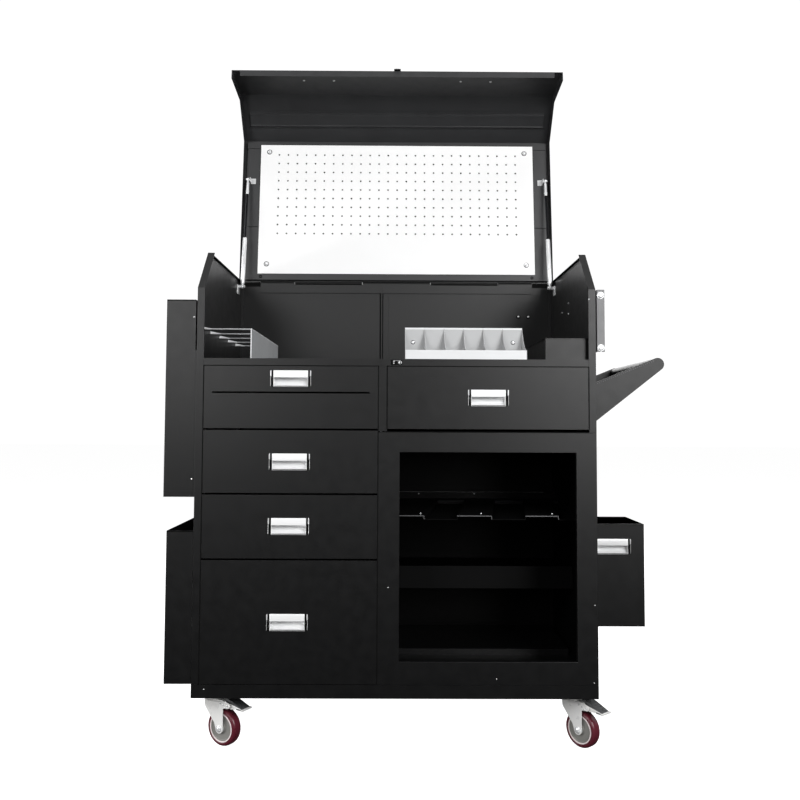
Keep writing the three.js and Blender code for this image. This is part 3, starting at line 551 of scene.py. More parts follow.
def build_rack_edges():
    """Painted highlights on the tool rack's edges, along its front between the channels and its rear."""
    low, high = home_box("bay_tool_rack")
    rear_lip, channel_deep = 22, 12
    top = high.z - rear_lip
    proud, sunk = low.y - 0.5, low.y + 0.4
    edges = bmesh.new()
    channels = ((80, 172), (270, 364), (458, 530))
    starts = [low.x] + [x1 for x0, x1 in channels]
    ends = [x0 for x0, x1 in channels] + [high.x]
    for x0, x1 in zip(starts, ends):
        block(edges, x0 + 1, x1 - 1, proud, sunk, top - 3.4, top - 1.6)
    for x0, x1 in channels:
        block(edges, x0 - 1, x0 + 0.4, proud, sunk, top - channel_deep, top - 3)
    block(edges, low.x + 30, high.x - 40, high.y - 2.4, high.y - 0.2, high.z - 0.3, high.z + 0.9)
    fixed("bay_tool_rack_edge_highlights", edges, "edge_highlight_paint", "inner_paint")
    fixings = bmesh.new()
    forward, size = (0, -1, 0), (2.6, 1.2)
    for x in (70, 240, 440):
        rivet(fixings, (x, low.y - 0.3, top + 4), forward, *size)
    for x in (80, 270):
        rivet(fixings, (x, high.y - 1.5, high.z - 6), forward, *size)
    fixed("bay_tool_rack_rivets", fixings, "galvanised", "zinc_plate")


def build_back_flanges():
    """Folded edges that close the back panel on the walls and on the floor."""
    low, high = home_box("back_panel")
    inside = HALF_WIDTH - SHEET
    width, fold = 9, 1.6
    bm = bmesh.new()
    for x0, x1 in ((-inside, width - inside), (inside - width, inside)):
        block(bm, x0, x1, low.y - fold, low.y, FLOOR_TOP, high.z)
    block(bm, width - inside, inside - width, low.y - fold, low.y, FLOOR_TOP - 0.4,
          FLOOR_TOP + width)
    fixed("back_panel_flanges", bm, "inner", "inner_paint", bevel=0.3)


def build_front_seals():
    """Dark strips that close the gaps beside and above the drawer fronts, and thin dark lines round the fronts:
    painted shade.
    """
    rail_bottom = home_box("deck")[0].z
    shade_strips = bmesh.new()
    gap = 0.15                        # from a drawer to the strip in the gap beside it
    touch, lap, over = 0.1, 2.9, 2.6  # where the thin outer line starts and ends
    for top_drawer, last_drawer in ((1, 4), (5, 5)):
        low, high = home_box(f"drawer_{top_drawer}")
        foot = home_box(f"drawer_{last_drawer}")[0].z
        for x0, x1 in ((low.x - 2.0, low.x - gap), (high.x + gap, high.x + 1.5)):
            block(shade_strips, x0, x1, 1.2, 14.0, foot, rail_bottom - 0.5)
        for x0, x1 in ((low.x - lap, low.x - touch), (high.x + touch, high.x + lap)):
            block(shade_strips, x0, x1, -0.18, 0.4, foot, high.z + over)
        block(shade_strips, low.x - lap, high.x + lap, -0.18, 0.4, high.z + touch, high.z + over)
    fixed("front_gap_seals", shade_strips, "rubber_and_shade", "black_paint")


def build_hinge_strips():
    """Dark strips that close the slots at the hinge: painted shade."""
    hinge = HOME.inverted() @ Vector(JOINTS["lid_hinge"]["pos_m"]) / MM
    wall = HALF_WIDTH - SHEET - 0.1
    barrel = 480.5                    # half the hinge's barrel, and a little clear of it
    near, far = hinge.y - 3.4, hinge.y - 1.6
    strip = bmesh.new()
    top = home_box("back_panel")[1].z
    block(strip, -wall, wall, near, far, top - 4, hinge.z - 4.7)
    for x0, x1 in ((-wall, -barrel), (barrel, wall)):
        block(strip, x0, x1, near, far, hinge.z - 6, hinge.z + 3.2)
    fixed("hinge_lower_shade_strip", strip, "rubber_and_shade", "black_paint")
    cover = bmesh.new()
    block(cover, -HALF_WIDTH, HALF_WIDTH, -9, -4.75, 1.05, 2.45)
    piece("hinge_upper_shade_strip", cover, "lid", "rubber_and_shade", "black_paint", lid_base())


def build_lock_strike():
    """Oval escutcheon in the front rail, round the slot that the lock's tongue enters."""
    low, high = home_box("lock_strike")
    x0, x1, z0, z1 = low.x, high.x, low.z, high.z
    middle_x, middle_z = (x0 + x1) / 2, (z0 + z1) / 2
    face = low.y
    round_end = (z1 - z0) / 2 - 0.1
    proud, inset = 0.8, 1.2
    # The oval plate is flat black rubber over the strike's slot: painted shade of its recess.
    bm = bmesh.new()
    prism(bm, rounded(x0, x1, z0, z1, round_end, 8), face - proud, face + 1.2, "Y")
    fixed("lock_strike_shade_plate", bm, "rubber_and_shade", "bright_chrome", ("lock_strike",), 0.4)
    trim = bmesh.new()
    for side in (-1, 1):
        for lift in (-1, 1):
            place = (middle_x + side * 7.5, face - proud, middle_z + lift * 2.2)
            rivet(trim, place, (0, -1, 0), 1.7, 0.9)
    block(trim, middle_x + 4.5, middle_x + 10.5, face - 1.5, face - 0.7, middle_z - 2, middle_z + 2)
    edge = rounded(x0 + inset, x1 - inset, z0 + inset, z1 - inset, round_end - inset, 8)
    half_way = 19
    tube(trim, [(x, face - 0.9, z) for x, z in edge][:half_way], 0.45, 6)
    fixed("lock_strike_trim", trim, "chrome", "bright_chrome", smooth=40)


def build_cabinet_fasteners():
    """Rivets along the back and the skirt, and screws in the walls."""
    low, high = home_box("back_panel")
    bm = bmesh.new()
    rows, columns, pitch = 9, 8, 142
    end_space, edge = 30, 12
    for i in range(rows):
        z = low.z + end_space + i * (high.z - low.z - 70) / (rows - 1)
        for x in (low.x + edge, high.x - edge):
            rivet(bm, (x, high.y, z), (0, 1, 0))
    for i in range(columns):
        rivet(bm, ((i - 3.5) * pitch, DEPTH, FLOOR_TOP - 18), (0, 1, 0))
    fixed("cabinet_rivets", bm, "black", "black_paint")

    # The dark rings under the two front screws are painted shade round their heads.
    screws, rings = bmesh.new(), bmesh.new()
    forward = (0, -1, 0)
    screw_line, ring_thick = 1268, 0.8
    for x in (432, 467):
        washer(rings, (x, low.y, screw_line), forward, 6.5, ring_thick)
        button_head(screws, (x, low.y - ring_thick, screw_line), forward, 3.6, 2.2)
    inside = HALF_WIDTH - SHEET
    for y, z in ((450, 1257), (354, 1275), (354, 1241)):
        button_head(screws, (inside, y, z), (-1, 0, 0), 2.3, 1.4)
    front_rivets = ((-515, 174), (541, 400), (538, 193), (274, 203), (-20, 446), (532, 1236))
    for x, z in front_rivets:
        rivet(screws, (x, 0, z), forward, 1.5, 0.6)
    fixed("cabinet_screws", screws, "chrome", "bright_chrome", smooth=40)
    fixed("cabinet_screw_shade_rings", rings, "rubber_and_shade", "black_paint")


# ---- drawers ----


def build_drawer(node):
    """Drawer front and tray, and the sliding half of its rails."""
    base, size = corner_of(node)
    piece(f"{node}_shell", from_cad(node), node, "black", "black_paint", replaces=(node,),
          bevel=1.4, segments=4)
    rail = bmesh.new()
    start, end = 60, size.y - 14
    lift, high = 42.5, 26
    lip = 3
    near, far = 9.2, 13.4
    for x0, x1 in ((near, far), (size.x - far, size.x - near)):
        block(rail, x0, x1, start, end, lift, lift + lip)
        block(rail, x0, x1, start, end, lift + high - lip, lift + high)
        web = x1 - THIN_SHEET if x0 < size.x / 2 else x0
        block(rail, web, web + THIN_SHEET, start, end, lift, lift + high)
    piece(f"{node}_rails", rail, node, "galvanised", "zinc_plate", base, bevel=0.3)


def build_pull(node, body):
    """Recessed pull: a lip over a scoop, between two dark blocks with thin bright rims."""
    base, size = corner_of(node)
    wide, deep, tall = size
    end = 9.0                # from the rim to the bright middle
    plane = 2.2              # how far the pull stands in front of the drawer
    lip_low = tall * 0.56
    back = deep - 2.4
    thin = 1.1               # thickness of the scoop's metal
    middle = bmesh.new()
    lip = [(0.6, lip_low), (0.2, lip_low + 2), (0.5, tall - 3.5), (plane, tall - 0.6),
           (plane + 3, tall - 0.6), (plane + 3, lip_low + 2.5), (3.2, lip_low)]
    prism(middle, lip, end, wide - end, "X")
    steps = 9
    scoop = []
    for i in range(steps + 1):
        t = math.radians(90 * i / steps)
        scoop.append((1.0 + (back - 1.0) * math.sin(t), 1.2 + (lip_low + 4) * (1 - math.cos(t))))
    wall = scoop + [(y + thin, z - thin) for y, z in scoop[::-1]]
    prism(middle, wall, end, wide - end, "X")
    side = scoop + [(back, tall - 4), (plane, tall - 4), (plane, lip_low)]
    for x0 in (end, wide - end - thin):
        prism(middle, side, x0, x0 + thin, "X")
    piece(f"{node}_middle", middle, body, "aluminium", "pull_aluminium", base, (node,), 0.3)

    ends = bmesh.new()
    for x0, x1 in ((1.0, end - 0.2), (wide - end + 0.2, wide - 1.0)):
        block(ends, x0, x1, 1.0, deep - 2, 1.6, tall - 1.6)
    # A dark bar along the top, behind the lip: a painted shadow line.
    block(ends, end, wide - end, plane + 0.4, deep - 1, tall - 2.4, tall - 0.9)
    piece(f"{node}_end_caps_and_shade", ends, body, "rubber_and_shade", "black_paint", base, bevel=0.6)

    rims = bmesh.new()
    for flip in (False, True):
        edge = [(3.2, tall * 0.62), (0.3, tall * 0.66), (0.3, tall - 2.6), (1.4, tall - 0.8),
                (3.6, tall - 0.8), (3.6, tall * 0.7)]
        outline = [(wide - x, z) for x, z in edge] if flip else edge
        prism(rims, outline, 0.3, plane + 0.2, "Y")
        low_edge = [(0.9, 2.0), (1.9, 2.0), (1.9, tall * 0.62), (0.9, tall * 0.62)]
        outline = [(wide - x, z) for x, z in low_edge] if flip else low_edge
        prism(rims, outline, 0.7, plane + 0.2, "Y")
    piece(f"{node}_rims", rims, body, "chrome", "pull_aluminium", base, bevel=0.4)


def build_drawers():
    for i in range(1, 6):
        node = f"drawer_{i}"
        build_drawer(node)
        build_pull(f"{node}_pull", node)
    build_pull("right_bin_pull", "right_bin")


# ---- lid ----


def punched_plate(bm, xs, ys, radius, sides=12):
    """A plate whose inner cells between the lines xs and ys each hold a round hole.

    It lies in X and Y, from Z 0 to the thickness of thin sheet.
    """
    quarter = sides // 4
    layers = []
    for z in (0.0, THIN_SHEET):
        grid = [[bm.verts.new((x, y, z)) for y in ys] for x in xs]
        holes = {}
        for i in range(len(xs) - 1):
            for j in range(len(ys) - 1):
                corners = [grid[i][j], grid[i + 1][j], grid[i + 1][j + 1], grid[i][j + 1]]
                if not (0 < i < len(xs) - 2 and 0 < j < len(ys) - 2):
                    bm.faces.new(corners)
                    continue
                cx, cy = (xs[i] + xs[i + 1]) / 2, (ys[j] + ys[j + 1]) / 2
                hole = []
                for x, y in arc(cx, cy, radius, -135, 225, sides)[:-1]:
                    hole.append(bm.verts.new((x, y, z)))
                holes[i, j] = hole
                for q in range(4):
                    span = [hole[(q * quarter + step) % sides] for step in range(quarter + 1)]
                    bm.faces.new([corners[q], corners[(q + 1) % 4]] + span[::-1])
        rim = [row[0] for row in grid] + grid[-1][1:] + [row[-1] for row in grid[-2::-1]]
        layers.append((rim + grid[0][-2:0:-1], holes))
    (front, front_holes), (back, back_holes) = layers
    walls = [(front, back)] + [(front_holes[key], back_holes[key]) for key in front_holes]
    for near, far in walls:
        for k, vert in enumerate(near):
            m = (k + 1) % len(near)
            bm.faces.new((vert, near[m], far[m], far[k]))


def build_peg_panel():
    """White punched panel with a folded rim, held by four dome nuts on washers."""
    base = lid_base()
    inverse = base.inverted()
    corners = [inverse @ v.co / MM for v in frame["nodes"]["peg_panel"].data.vertices]
    x0, x1 = min(v.x for v in corners), max(v.x for v in corners)
    far, near = min(v.y for v in corners), max(v.y for v in corners)
    face = min(v.z for v in corners)
    wide, tall = x1 - x0, near - far
    columns, rows, pitch = 27, 10, 32.8
    first_x, first_y = 66.0, 37.0
    xs = [first_x + (i - 0.5) * pitch for i in range(columns + 1)]
    ys = [first_y + (i - 0.5) * pitch for i in range(rows + 1)]
    bm = bmesh.new()
    punched_plate(bm, [0.0, *xs, wide], [0.0, *ys, tall], 3.1)
    # the drawing's Y runs from the far end of the lid towards the hinge
    place = base @ Matrix.Translation(Vector((x0, far, face)) * MM)
    piece("peg_panel_sheet", bm, "lid", "white", "white_paint", place, ("peg_panel",), smooth=40)

    rim = bmesh.new()
    deep, edge = 4.5, 0.4
    for a, b in ((edge, edge + THIN_SHEET), (wide - edge - THIN_SHEET, wide - edge)):
        block(rim, a, b, 1, tall - 22, THIN_SHEET, deep)
    block(rim, 2, wide - 2, edge, edge + THIN_SHEET, THIN_SHEET, deep)
    piece("peg_panel_rim", rim, "lid", "white", "white_paint", place, bevel=0.3)

    # The dark rings, wider than the washers, are painted shade round the nuts.
    nuts, washers, rings = bmesh.new(), bmesh.new(), bmesh.new()
    inset, outward = 30.5, (0, 0, -1)
    ring_thick, washer_thick = 0.5, 1.4
    for x in (inset, wide - inset):
        for y in (26.5, tall - 35):
            washer(rings, (x, y, 0), outward, 9.2, ring_thick)
            washer(washers, (x, y, -ring_thick), outward, 7.2, washer_thick)
            button_head(nuts, (x, y, -ring_thick - washer_thick), outward, 5.4, 5.0)
    piece("peg_panel_nuts", nuts, "lid", "chrome", "bright_chrome", place, smooth=40)
    piece("peg_panel_washers", washers, "lid", "chrome", "bright_chrome", place, smooth=40)
    piece("peg_panel_shade_rings", rings, "lid", "rubber_and_shade", "black_paint", place, smooth=40)


def build_lid():
    # The lid's shell in the lighter copy of the black coat: painted light.
    sheet_copy("lid_shell", "lid", "black_paint", 0.6)
    sheet_copy("lid_inner_frame", "lid", "inner_paint", 0.6)
    build_peg_panel()
    build_lid_stiffener()


def build_lid_stiffener():
    """Hat channel across the sloping leaf, rivets on the front leaf and stops on the rail."""
    slope_top, slope_foot, drop = -531.0, -650.0, -121.2      # ends of the sloping leaf
    along = Vector((slope_foot - slope_top, drop)).normalized()
    inward = Vector((-along.y, along.x))
    start = Vector((slope_top, 0.0))
    half = 525
    profile = [(50, -0.8), (50, 0.5), (55, 0.5), (58, 5.5), (62, 5.5), (63, 4.7), (98, 4.7),
               (99, 5.5), (103, 5.5), (106, 0.5), (111, 0.5), (111, -0.8)]
    bm = bmesh.new()
    prism(bm, [start + along * s + inward * h for s, h in profile], -half, half, "X")
    # The channel in the lid's lighter copy of the black coat: painted light.
    piece("lid_stiffener", bm, "lid", "lid", "black_paint", lid_base(), bevel=0.35)

    rivets = bmesh.new()
    leaf_face = slope_foot - 1.0
    for x in (-318, -216, 216, 318):
        rivet(rivets, (x, leaf_face, drop - 100), (0, 1, 0), 4.2, 2.2)
    piece("lid_leaf_rivets", rivets, "lid", "chrome", "bright_chrome", lid_base())

    stops = bmesh.new()
    for x in (-480, 480):
        washer(stops, (x, -20, -12), (0, 0, -1), 5.5, 1.2, 2.4)
    piece("lid_rail_stops", stops, "lid", "rubber_and_shade", "black_paint", lid_base())


def build_hinge():
    for node in ("lid_hinge_leaf", "cabinet_hinge_leaf"):
        sheet_copy(node, "inner", "black_paint", 0.3)


def build_lock():
    sheet_copy("lid_lock", "black", "black_paint", 0.6)
    sheet_copy("lock_barrel", "chrome", "bright_chrome", 0.3)


# ---- gas struts ----


def strut_base(side):
    """The strut's frame: origin at its lower pivot, Z along it. Also gives its length."""
    foot = Vector(JOINTS[f"{side}_strut_swing"]["pos_m"])
    ahead = -Vector(JOINTS[f"{side}_strut_slide"]["axis"])
    lean = math.atan2(ahead.y, ahead.z)
    eye = 6.0
    rod_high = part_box(f"{side}_strut_rod")[1]
    length = ((rod_high.z - foot.z) / MM - eye) / math.cos(lean)
    return Matrix.Translation(foot) @ Matrix.Rotation(-lean, 4, "X"), length


def eye_end(bm, height, radius, bore):
    """A ring across the strut for the pin of its bracket."""
    lathe(bm, [(bore, -3.4), (radius - 0.8, -3.4), (radius, -2.4), (radius, 2.4),
               (radius - 0.8, 3.4), (bore, 3.4)], (0, 0, height), "X", 28, closed=True)


def build_struts():
    top = 182                         # upper end of the cylinder
    for side in ("left", "right"):
        base, length = strut_base(side)
        cylinder = bmesh.new()
        lathe(cylinder, [
            (4.9, top), (6.4, top), (7.5, top - 2), (7.5, 14), (6.4, 10.5), (4.2, 9.5), (4.2, 5.0),
            (3.0, 5.0), (3.0, 30), (4.9, 32)], axis="Z", segments=32, closed=True)
        eye_end(cylinder, 0, 6.5, 2.9)
        piece(f"{side}_strut_cylinder", cylinder, f"{side}_strut_tube", "plated",
              "bright_chrome", base, (f"{side}_strut_tube",), smooth=40)
        seal = bmesh.new()
        lathe(seal, [(4.6, top - 3), (6.0, top - 3), (6.0, top + 1.6), (4.6, top + 2.4)],
              axis="Z", segments=28, closed=True)
        piece(f"{side}_strut_seal", seal, f"{side}_strut_tube", "rubber_and_shade", "black_paint", base)

        fitting = length - 58
        rod = bmesh.new()
        lathe(rod, [(0, top - 12), (4.5, top - 12), (4.5, fitting), (0, fitting)],
              axis="Z", segments=24)
        piece(f"{side}_strut_shaft", rod, f"{side}_strut_rod", "steel", "dark_steel", base,
              (f"{side}_strut_rod",), smooth=40)
        end = bmesh.new()
        lathe(end, [(0, fitting), (4.6, fitting), (4.8, length - 56), (4.8, length - 14),
                    (4.0, length - 11), (3.4, length - 5), (0, length - 5)],
              axis="Z", segments=24)
        nut_low, nut_high = length - 50, length - 44
        lathe(end, [(4.4, nut_low), (5.8, nut_low), (5.8, nut_high), (4.4, nut_high)],
              axis="Z", segments=6, closed=True)
        eye_end(end, length, 6.0, 2.5)
        piece(f"{side}_strut_end_fitting", end, f"{side}_strut_rod", "plated",
              "bright_chrome", base, smooth=40)
        for end_name in ("upper", "lower"):
            sheet_copy(f"{side}_strut_{end_name}_bracket", "chrome", "bright_chrome", 0.3)


# ---- trays, side boxes and push handle ----


def twisted_tip(bm, start, length, thick):
    """The last stretch of a flat bar, turned upright and widened towards the wall at start."""
    sections, full_turn = 7, 68
    rings = []
    for j in range(sections + 1):
        part = j / sections
        turn = math.radians(full_turn * (1 - part) ** 1.3)
        half = 4.4 - 2.6 * part
        centre = start + Vector((length * part, 0, 3.6 * (1 - part)))
        along = Vector((0, math.cos(turn), math.sin(turn)))
        across = Vector((0, -math.sin(turn), math.cos(turn)))
        rings.append([bm.verts.new(centre + along * a * half + across * b * thick / 2)
                      for a, b in ((-1, -1), (1, -1), (1, 1), (-1, 1))])
    skin(bm, rings)


def build_bottle_rack():
    """An end plate, and flat bars that reach from it to the wall and are twisted there."""
    low, high = home_box("bottle_rack")
    tip_rise = 11
    top = high.z - tip_rise
    bars, width, thick = 5, 12, 3
    pitch = (high.y - low.y - width) / (bars - 1)
    plate = bmesh.new()
    block(plate, high.x - THIN_SHEET, high.x, low.y, high.y, low.z, top)
    fixed("bottle_rack_end_plate", plate, "grey", "grey_paint", ("bottle_rack",), 0.4)
    # A paler strip along the plate's front and top edges: painted highlight.
    rim = bmesh.new()
    rim_wide = 2.6
    block(rim, high.x - rim_wide, high.x + 0.3, low.y - 0.3, low.y + 1.6, low.z, top + 0.4)
    block(rim, high.x - rim_wide, high.x + 0.3, low.y, high.y, top - 1.6, top + 0.5)
    fixed("bottle_rack_rim", rim, "tray", "grey_paint", bevel=0.5)
    twist = 34
    lengths, tips = bmesh.new(), bmesh.new()
    for i in range(bars):
        y = low.y + i * pitch
        block(lengths, low.x + twist, high.x - 2, y, y + width, top - thick, top)
        start = Vector((low.x + 0.6, y + width / 2, top - thick / 2))
        twisted_tip(tips, start, twist + 1, thick)
    fixed("bottle_rack_bars", lengths, "grey", "grey_paint", bevel=0.6)
    # The twisted tips in the paler grey: painted highlight.
    fixed("bottle_rack_twisted_tips", tips, "tray", "grey_paint", smooth=30)


def build_six_bin_tray():
    """The tray's own shape, with rounded bin floors, pale edges that are painted highlights, and two screws at its
    back on rings of painted shade.
    """
    sheet_copy("six_bin_tray", "tray_inner", "grey_paint", 0.35)
    sheet_copy("tape_box", "black", "black_paint", 0.4)
    low, high = home_box("six_bin_tray")
    cove = bmesh.new()
    radius = 34
    back, floor = high.y - THIN_SHEET, low.z + THIN_SHEET
    bins = 6
    pitch = (high.x - low.x - THIN_SHEET) / bins
    outline = arc(back - radius, floor + radius, radius, -90, 0, 8) + [(back, floor)]
    for i in range(bins):
        x = low.x + THIN_SHEET + i * pitch
        prism(cove, outline, x + 0.05, x + pitch - THIN_SHEET - 0.05, "X")
    fixed("six_bin_tray_coves", cove, "tray_inner", "grey_paint")
    # The tray's front, its lip and its back edge in a paler grey than its inside: painted highlight.
    front_hem = bmesh.new()
    lip_top = 1094
    block(front_hem, low.x, high.x, low.y - 0.3, low.y + 0.5, low.z, lip_top)
    block(front_hem, low.x, high.x, back - 0.4, high.y + 0.2, high.z - 5, high.z + 0.2)
    block(front_hem, low.x, high.x, low.y - 0.6, low.y + 2.2, lip_top - 5, lip_top + 0.6)
    fixed("six_bin_tray_hem", front_hem, "tray", "grey_paint", bevel=0.7)
    # The dark rings under the two screws are painted shade round their heads.
    screws, rings = bmesh.new(), bmesh.new()
    screw_line, ring_thick, forward = 1124, 0.5, (0, -1, 0)
    for x in (low.x + 23, high.x - 27):
        washer(rings, (x, back, screw_line), forward, 6.0, ring_thick)
        button_head(screws, (x, back - ring_thick, screw_line), forward, 4.6, 2.4)
    fixed("six_bin_tray_screws", screws, "chrome", "bright_chrome", smooth=40)
    fixed("six_bin_tray_screw_shade_rings", rings, "rubber_and_shade", "black_paint")


def build_tape_box_hem():
    low, high = home_box("tape_box")
    edge = bmesh.new()
    hem(edge, low, high)
    fixed("tape_box_hem", edge, "black", "black_paint", bevel=0.8)


def build_side_boxes():
    for node in ("left_locker", "left_bin", "right_bin"):
        sheet_copy(node, "black", "black_paint", 0.7)
    sheet_copy("side_hanger_bracket", "bracket", "zinc_plate", 0.8)
    for node in ("left_bin", "right_bin"):
        low, high = home_box(node)
        edge = bmesh.new()
        hem(edge, low, high)
        piece(f"{node}_hem", edge, body_of(node), "black", "black_paint", HOME, bevel=0.8)
    low, high = home_box("left_locker")
    spacer = 3.1      # how far the locker's spacer reaches past its shell
    shell_side = high.x - spacer
    edge = bmesh.new()
    hem(edge, low, Vector((shell_side, high.y, high.z)))
    fixed("left_locker_hem", edge, "black", "black_paint", bevel=0.8)
    lid_low = 1090
    filler = bmesh.new()
    block(filler, shell_side - 0.5, -HALF_WIDTH - 0.1, low.y + 0.4, low.y + 4, low.z, lid_low)
    fixed("left_locker_filler", filler, "black", "black_paint")
    bolts = bmesh.new()
    for z in (1181, 737):
        rivet(bolts, (shell_side - 4.5, low.y, z), (0, -1, 0), 2.0, 0.8)
    low, high = home_box("side_hanger_bracket")
    washer_thick, forward = 0.8, (0, -1, 0)
    x = high.x - 11
    for z in (low.z + 11, high.z - 16):
        washer(bolts, (x, low.y, z), forward, 9.5, washer_thick)
        button_head(bolts, (x, low.y - washer_thick, z), forward, 8.4, 3.8)
    fixed("side_box_bolts", bolts, "chrome", "bright_chrome", smooth=40)


def build_push_handle():
    """The handle's own shape, with flat cheeks over its ends, a row of pale beads along its hems that are painted
    highlights, and bolts.
    """
    plates = ("handle_front_plate", "handle_rear_plate")
    for node in (*plates, "handle_bar"):
        sheet_copy(node, "black", "black_paint", 0.8)
    bar_low, bar_high = home_box("handle_bar")
    centre_x, centre_z = (bar_low.x + bar_high.x) / 2, (bar_low.z + bar_high.z) / 2
    low, high = home_box("handle_front_plate")
    foot_top = 1005
    tip = arc(centre_x, centre_z, high.x - centre_x, -49, 115, 24)
    outline = [(low.x, low.z), *tip, (low.x, foot_top)]
    cheeks = bmesh.new()
    prism(cheeks, outline, bar_low.y - 0.3, low.y + 0.2, "Y")
    prism(cheeks, outline, bar_high.y - 1.4, bar_high.y + 0.3, "Y")
    fixed("handle_cheeks", cheeks, "black", "black_paint")

    # Short pale beads along the hems of both plates: painted highlights.
    hem_highlights = bmesh.new()
    inset, highlight_dots = 4.0, 30
    foot = Vector((low.x + inset, 0, foot_top - 0.5 - inset * 0.9))
    reach = Vector((tip[-1][0], 0, tip[-1][1])) - Vector((low.x, 0, foot_top))
    for y in (bar_low.y - 0.4, bar_high.y + 0.4):
        for i in range(highlight_dots):
            near = foot + reach * 0.97 * i / highlight_dots
            far = near + reach * 0.6 / highlight_dots
            tube(hem_highlights, [(near.x, y, near.z), (far.x, y, far.z)], 0.9, 8)
    fixed("handle_hem_stitches", hem_highlights, "edge_highlight_paint", "black_paint")

    bolts = bmesh.new()
    foot_thick, washer_thick, from_edge = 3, 1.2, 15
    for node in plates:
        low, high = home_box(node)
        face, y = low.x + foot_thick, low.y + from_edge
        for z in (920, 980):
            washer(bolts, (face, y, z), (1, 0, 0), 6.5, washer_thick)
            button_head(bolts, (face + washer_thick, y, z), (1, 0, 0), 4.8, 3.0)
    fixed("handle_bolts", bolts, "zinc", "zinc_plate", smooth=40)


# ---- casters ----

LEG_INNER = 20.5
LEG_OUTER = 23.0
WHEEL_WIDE = 30


def caster_frame(caster):
    """The caster's frame: origin on the floor under its swivel axis, wheel along +X."""
    swivel = Vector(JOINTS[f"{caster}_swivel"]["pos_m"])
    axle = Vector(JOINTS[f"{caster}_roll"]["pos_m"])
    reach = axle - swivel
    turn = math.atan2(reach.y, reach.x)
    trail = math.hypot(reach.x, reach.y) / MM
    base = Matrix.Translation((swivel.x, swivel.y, 0)) @ Matrix.Rotation(turn, 4, "Z")
    return base, trail, axle.z / MM


def build_fork(caster, base, trail, axle):
    """Pressed fork with a swivel race, and an axle bolt with washers and nuts."""
    front, top = -22, 127.5
    leg_back = trail + 13
    hinge_x, hinge_z, ear = 62, 116, 8
    leg = [(front, top - 4), (front + 3, top - 0.6), (hinge_x - 6, top - 1.5)]
    leg += arc(hinge_x, hinge_z, ear, 75, -80, 10)
    leg += [(leg_back + 3, hinge_z - ear - 1), (leg_back, hinge_z - ear - 4)]
    leg += arc(trail, axle, 13, 0, -180, 14)
    leg += [(trail - 18, 64), (front + 2, 104), (front, 112)]
    bm = bmesh.new()
    prism(bm, leg, -LEG_OUTER, -LEG_INNER, "Y")
    prism(bm, leg, LEG_INNER, LEG_OUTER, "Y")
    prism(bm, rounded(front - 3, leg_back + 6, -LEG_OUTER, LEG_OUTER, 9, 6), top - 8, top, "Z")
    piece(f"{caster}_fork_pressing", bm, caster, "zinc", "zinc_plate", base,
          (f"{caster}_fork",), 0.9, 3)

    race = bmesh.new()
    lathe(race, [(0, top - 1), (26, top - 1), (27, top + 0.5), (27, top + 4), (24.5, top + 6),
                 (24.5, top + 11), (27, top + 13), (27, top + 18.5), (0, top + 18.5)],
          axis="Z", segments=48)
    lathe(race, [(0, 115), (5, 115), (9, 116.5), (9, 121), (0, 121)], axis="Z", segments=6)
    piece(f"{caster}_swivel_race", race, caster, "zinc", "zinc_plate", base, smooth=40)

    bolts = bmesh.new()
    washer_thick = 1.4
    for way in (-1, 1):
        face = way * LEG_OUTER
        washer(bolts, (trail, face, axle), (0, way, 0), 9.0, washer_thick)
        hexagon(bolts, (trail, face + way * washer_thick, axle), (0, way, 0), 12.5, 4.2)
        for x, z in ((hinge_x - 26, hinge_z + 4), (hinge_x - 15, hinge_z + 1),
                     (hinge_x - 8, hinge_z - 5), (hinge_x, hinge_z)):
            rivet(bolts, (x, face, z), (0, way, 0), 2.6, 1.4)
    piece(f"{caster}_axle_bolt", bolts, caster, "chrome", "zinc_plate", base, smooth=35)


def build_wheel(caster, base, trail, axle):
    """Maroon tread on a grey core, with a pale ring between them and steel bearing caps."""
    half = WHEEL_WIDE / 2
    core, ring = 35.6, 38.8
    place = (trail, 0, axle)
    body = f"{caster}_wheel"
    tread = bmesh.new()
    shoulder = 9.0
    steps = 5
    near = [(ring - 1, half - 1.2), (ring + 0.6, half - 0.4)]
    for i in range(steps + 1):
        t = math.radians(90 * i / steps)
        radius = axle - shoulder * 0.75 * (1 - math.sin(t))
        near.append((radius, half - shoulder * (1 - math.cos(t))))
    profile = near + [(radius, -y) for radius, y in near[::-1]]
    lathe(tread, profile, place, "Y", 72, closed=True)
    piece(f"{caster}_tread", tread, body, "tread", "maroon_tread", base,
          (f"{caster}_wheel",), smooth=50)
    rim = bmesh.new()
    for way in (-1, 1):
        outline = [(core - 0.4, way * (half - 2)), (core, way * (half + 0.2)),
                   (ring, way * (half + 0.2)), (ring + 0.2, way * (half - 2))]
        lathe(rim, outline, place, "Y", 64, closed=True)
    piece(f"{caster}_rim_ring", rim, body, "rim", "maroon_tread", base)
    disc = bmesh.new()
    lathe(disc, [(6.5, half + 1), (12, half + 1), (14.5, half - 0.5), (16, half - 2.2),
                 (31, half - 2.2), (33, half - 0.9), (core, half - 0.9),
                 (core, 0.9 - half), (33, 0.9 - half), (31, 2.2 - half), (16, 2.2 - half),
                 (14.5, 0.5 - half), (12, -half - 1), (6.5, -half - 1)],
          place, "Y", 64, closed=True)
    piece(f"{caster}_wheel_core", disc, body, "core", "maroon_tread", base)
    caps = bmesh.new()
    for way in (-1, 1):
        outline = [(6.3, way * (half - 1)), (11.5, way * (half - 1)), (11.5, way * (half + 1.6)),
                   (9.5, way * (half + 2)), (6.3, way * (half + 2))]
        lathe(caps, outline, place, "Y", 40, closed=True)
    piece(f"{caster}_bearing_caps", caps, body, "chrome", "zinc_plate", base, smooth=35)


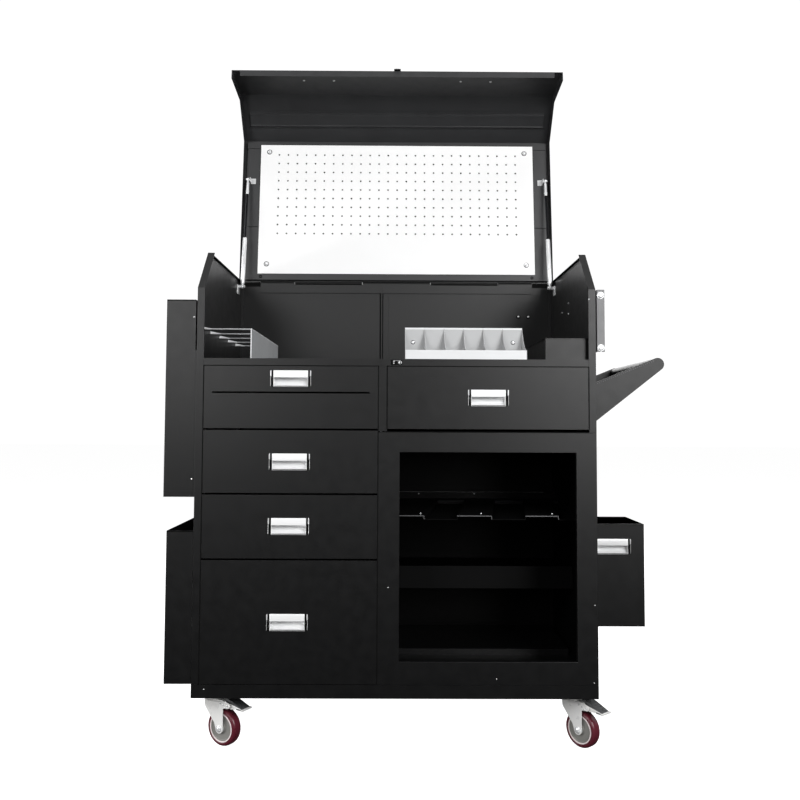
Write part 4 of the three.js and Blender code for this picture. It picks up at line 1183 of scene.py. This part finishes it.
def build_pedal(caster, base):
    """The brake pedal's own shape, with ribs on its tread, both in a dark copy of the plating that is painted
    shade, and bright cheeks and tip.
    """
    node = f"{caster}_pedal"
    body = body_of(node)
    # The pedal plate and its ribs are in the dark copy of the plating: painted shade.
    sheet_copy(node, "pedal", "zinc_plate", 0.8)
    hinge = JOINTS[f"{caster}_brake"]["pos_m"]
    place = Matrix.Translation(hinge) @ base.to_3x3().to_4x4()
    ribs = bmesh.new()
    pitch, half_rib = 8, 14
    slope_start, slope_long, slope_drop, tip_start = 8, 26, 12, 34
    for i in range(5):
        x = 12 + pitch * i
        sunk = slope_drop * min(1.0, (x - slope_start) / slope_long)
        z = 11.5 - sunk - max(0, x - tip_start) * 0.4
        block(ribs, x, x + 2.4, -half_rib, half_rib, z - 2.5, z + 1.8)
    for i in range(3):
        x = -20 + pitch * i
        block(ribs, x, x + 2.2, -half_rib, half_rib, 15.5, 18.6)
    piece(f"{caster}_pedal_ribs", ribs, body, "pedal", "zinc_plate", place, bevel=0.5)
    cheeks = bmesh.new()
    arm_side, cheek_side, tip_side, tip_low = 15.8, 17.2, 19.3, -8.4
    outline = [(-8.5, -7.0), (8, -9.2), (34, -5.2), (50, -8.2), (50, -5.6), (34, -1.2), (8, 4),
               (-8.5, 6)]
    for y0, y1 in ((-cheek_side, -arm_side), (arm_side, cheek_side)):
        prism(cheeks, outline, y0, y1, "Y")
    block(cheeks, 30, 50.3, -tip_side, tip_side, tip_low, -6.2)
    block(cheeks, 44, 50.4, -tip_side, tip_side, tip_low, -3.4)
    piece(f"{caster}_pedal_cheeks", cheeks, body, "zinc", "zinc_plate", place, bevel=0.5)


def build_casters():
    bolts = bmesh.new()
    for name in ("front_left", "front_right", "rear_left", "rear_right"):
        caster = f"{name}_caster"
        base, trail, axle = caster_frame(caster)
        build_fork(caster, base, trail, axle)
        build_wheel(caster, base, trail, axle)
        if name.startswith("front"):
            build_pedal(caster, base)
        swivel = HOME.inverted() @ Vector(JOINTS[f"{caster}_swivel"]["pos_m"]) / MM
        under_plate = 147.5
        for x in (-38, 38):
            for y in (-33, 33):
                hexagon(bolts, (swivel.x + x, swivel.y + y, under_plate), (0, 0, -1), 10, 4.5)
    fixed("caster_plate_bolts", bolts, "zinc", "zinc_plate", smooth=35)


PAINTS = make_paints()
add_camera()
add_world()
add_floor()
add_lights()
build_cabinet()
build_back_flanges()
build_front_seals()
build_hinge_strips()
build_bay_lining()
build_wall_ridge()
build_rack_edges()
build_lock_strike()
build_cabinet_fasteners()
build_drawers()
build_lid()
build_hinge()
build_lock()
build_struts()
build_bottle_rack()
build_six_bin_tray()
build_tape_box_hem()
build_side_boxes()
build_push_handle()
build_casters()

bpy.context.scene.view_settings.view_transform = "Standard"
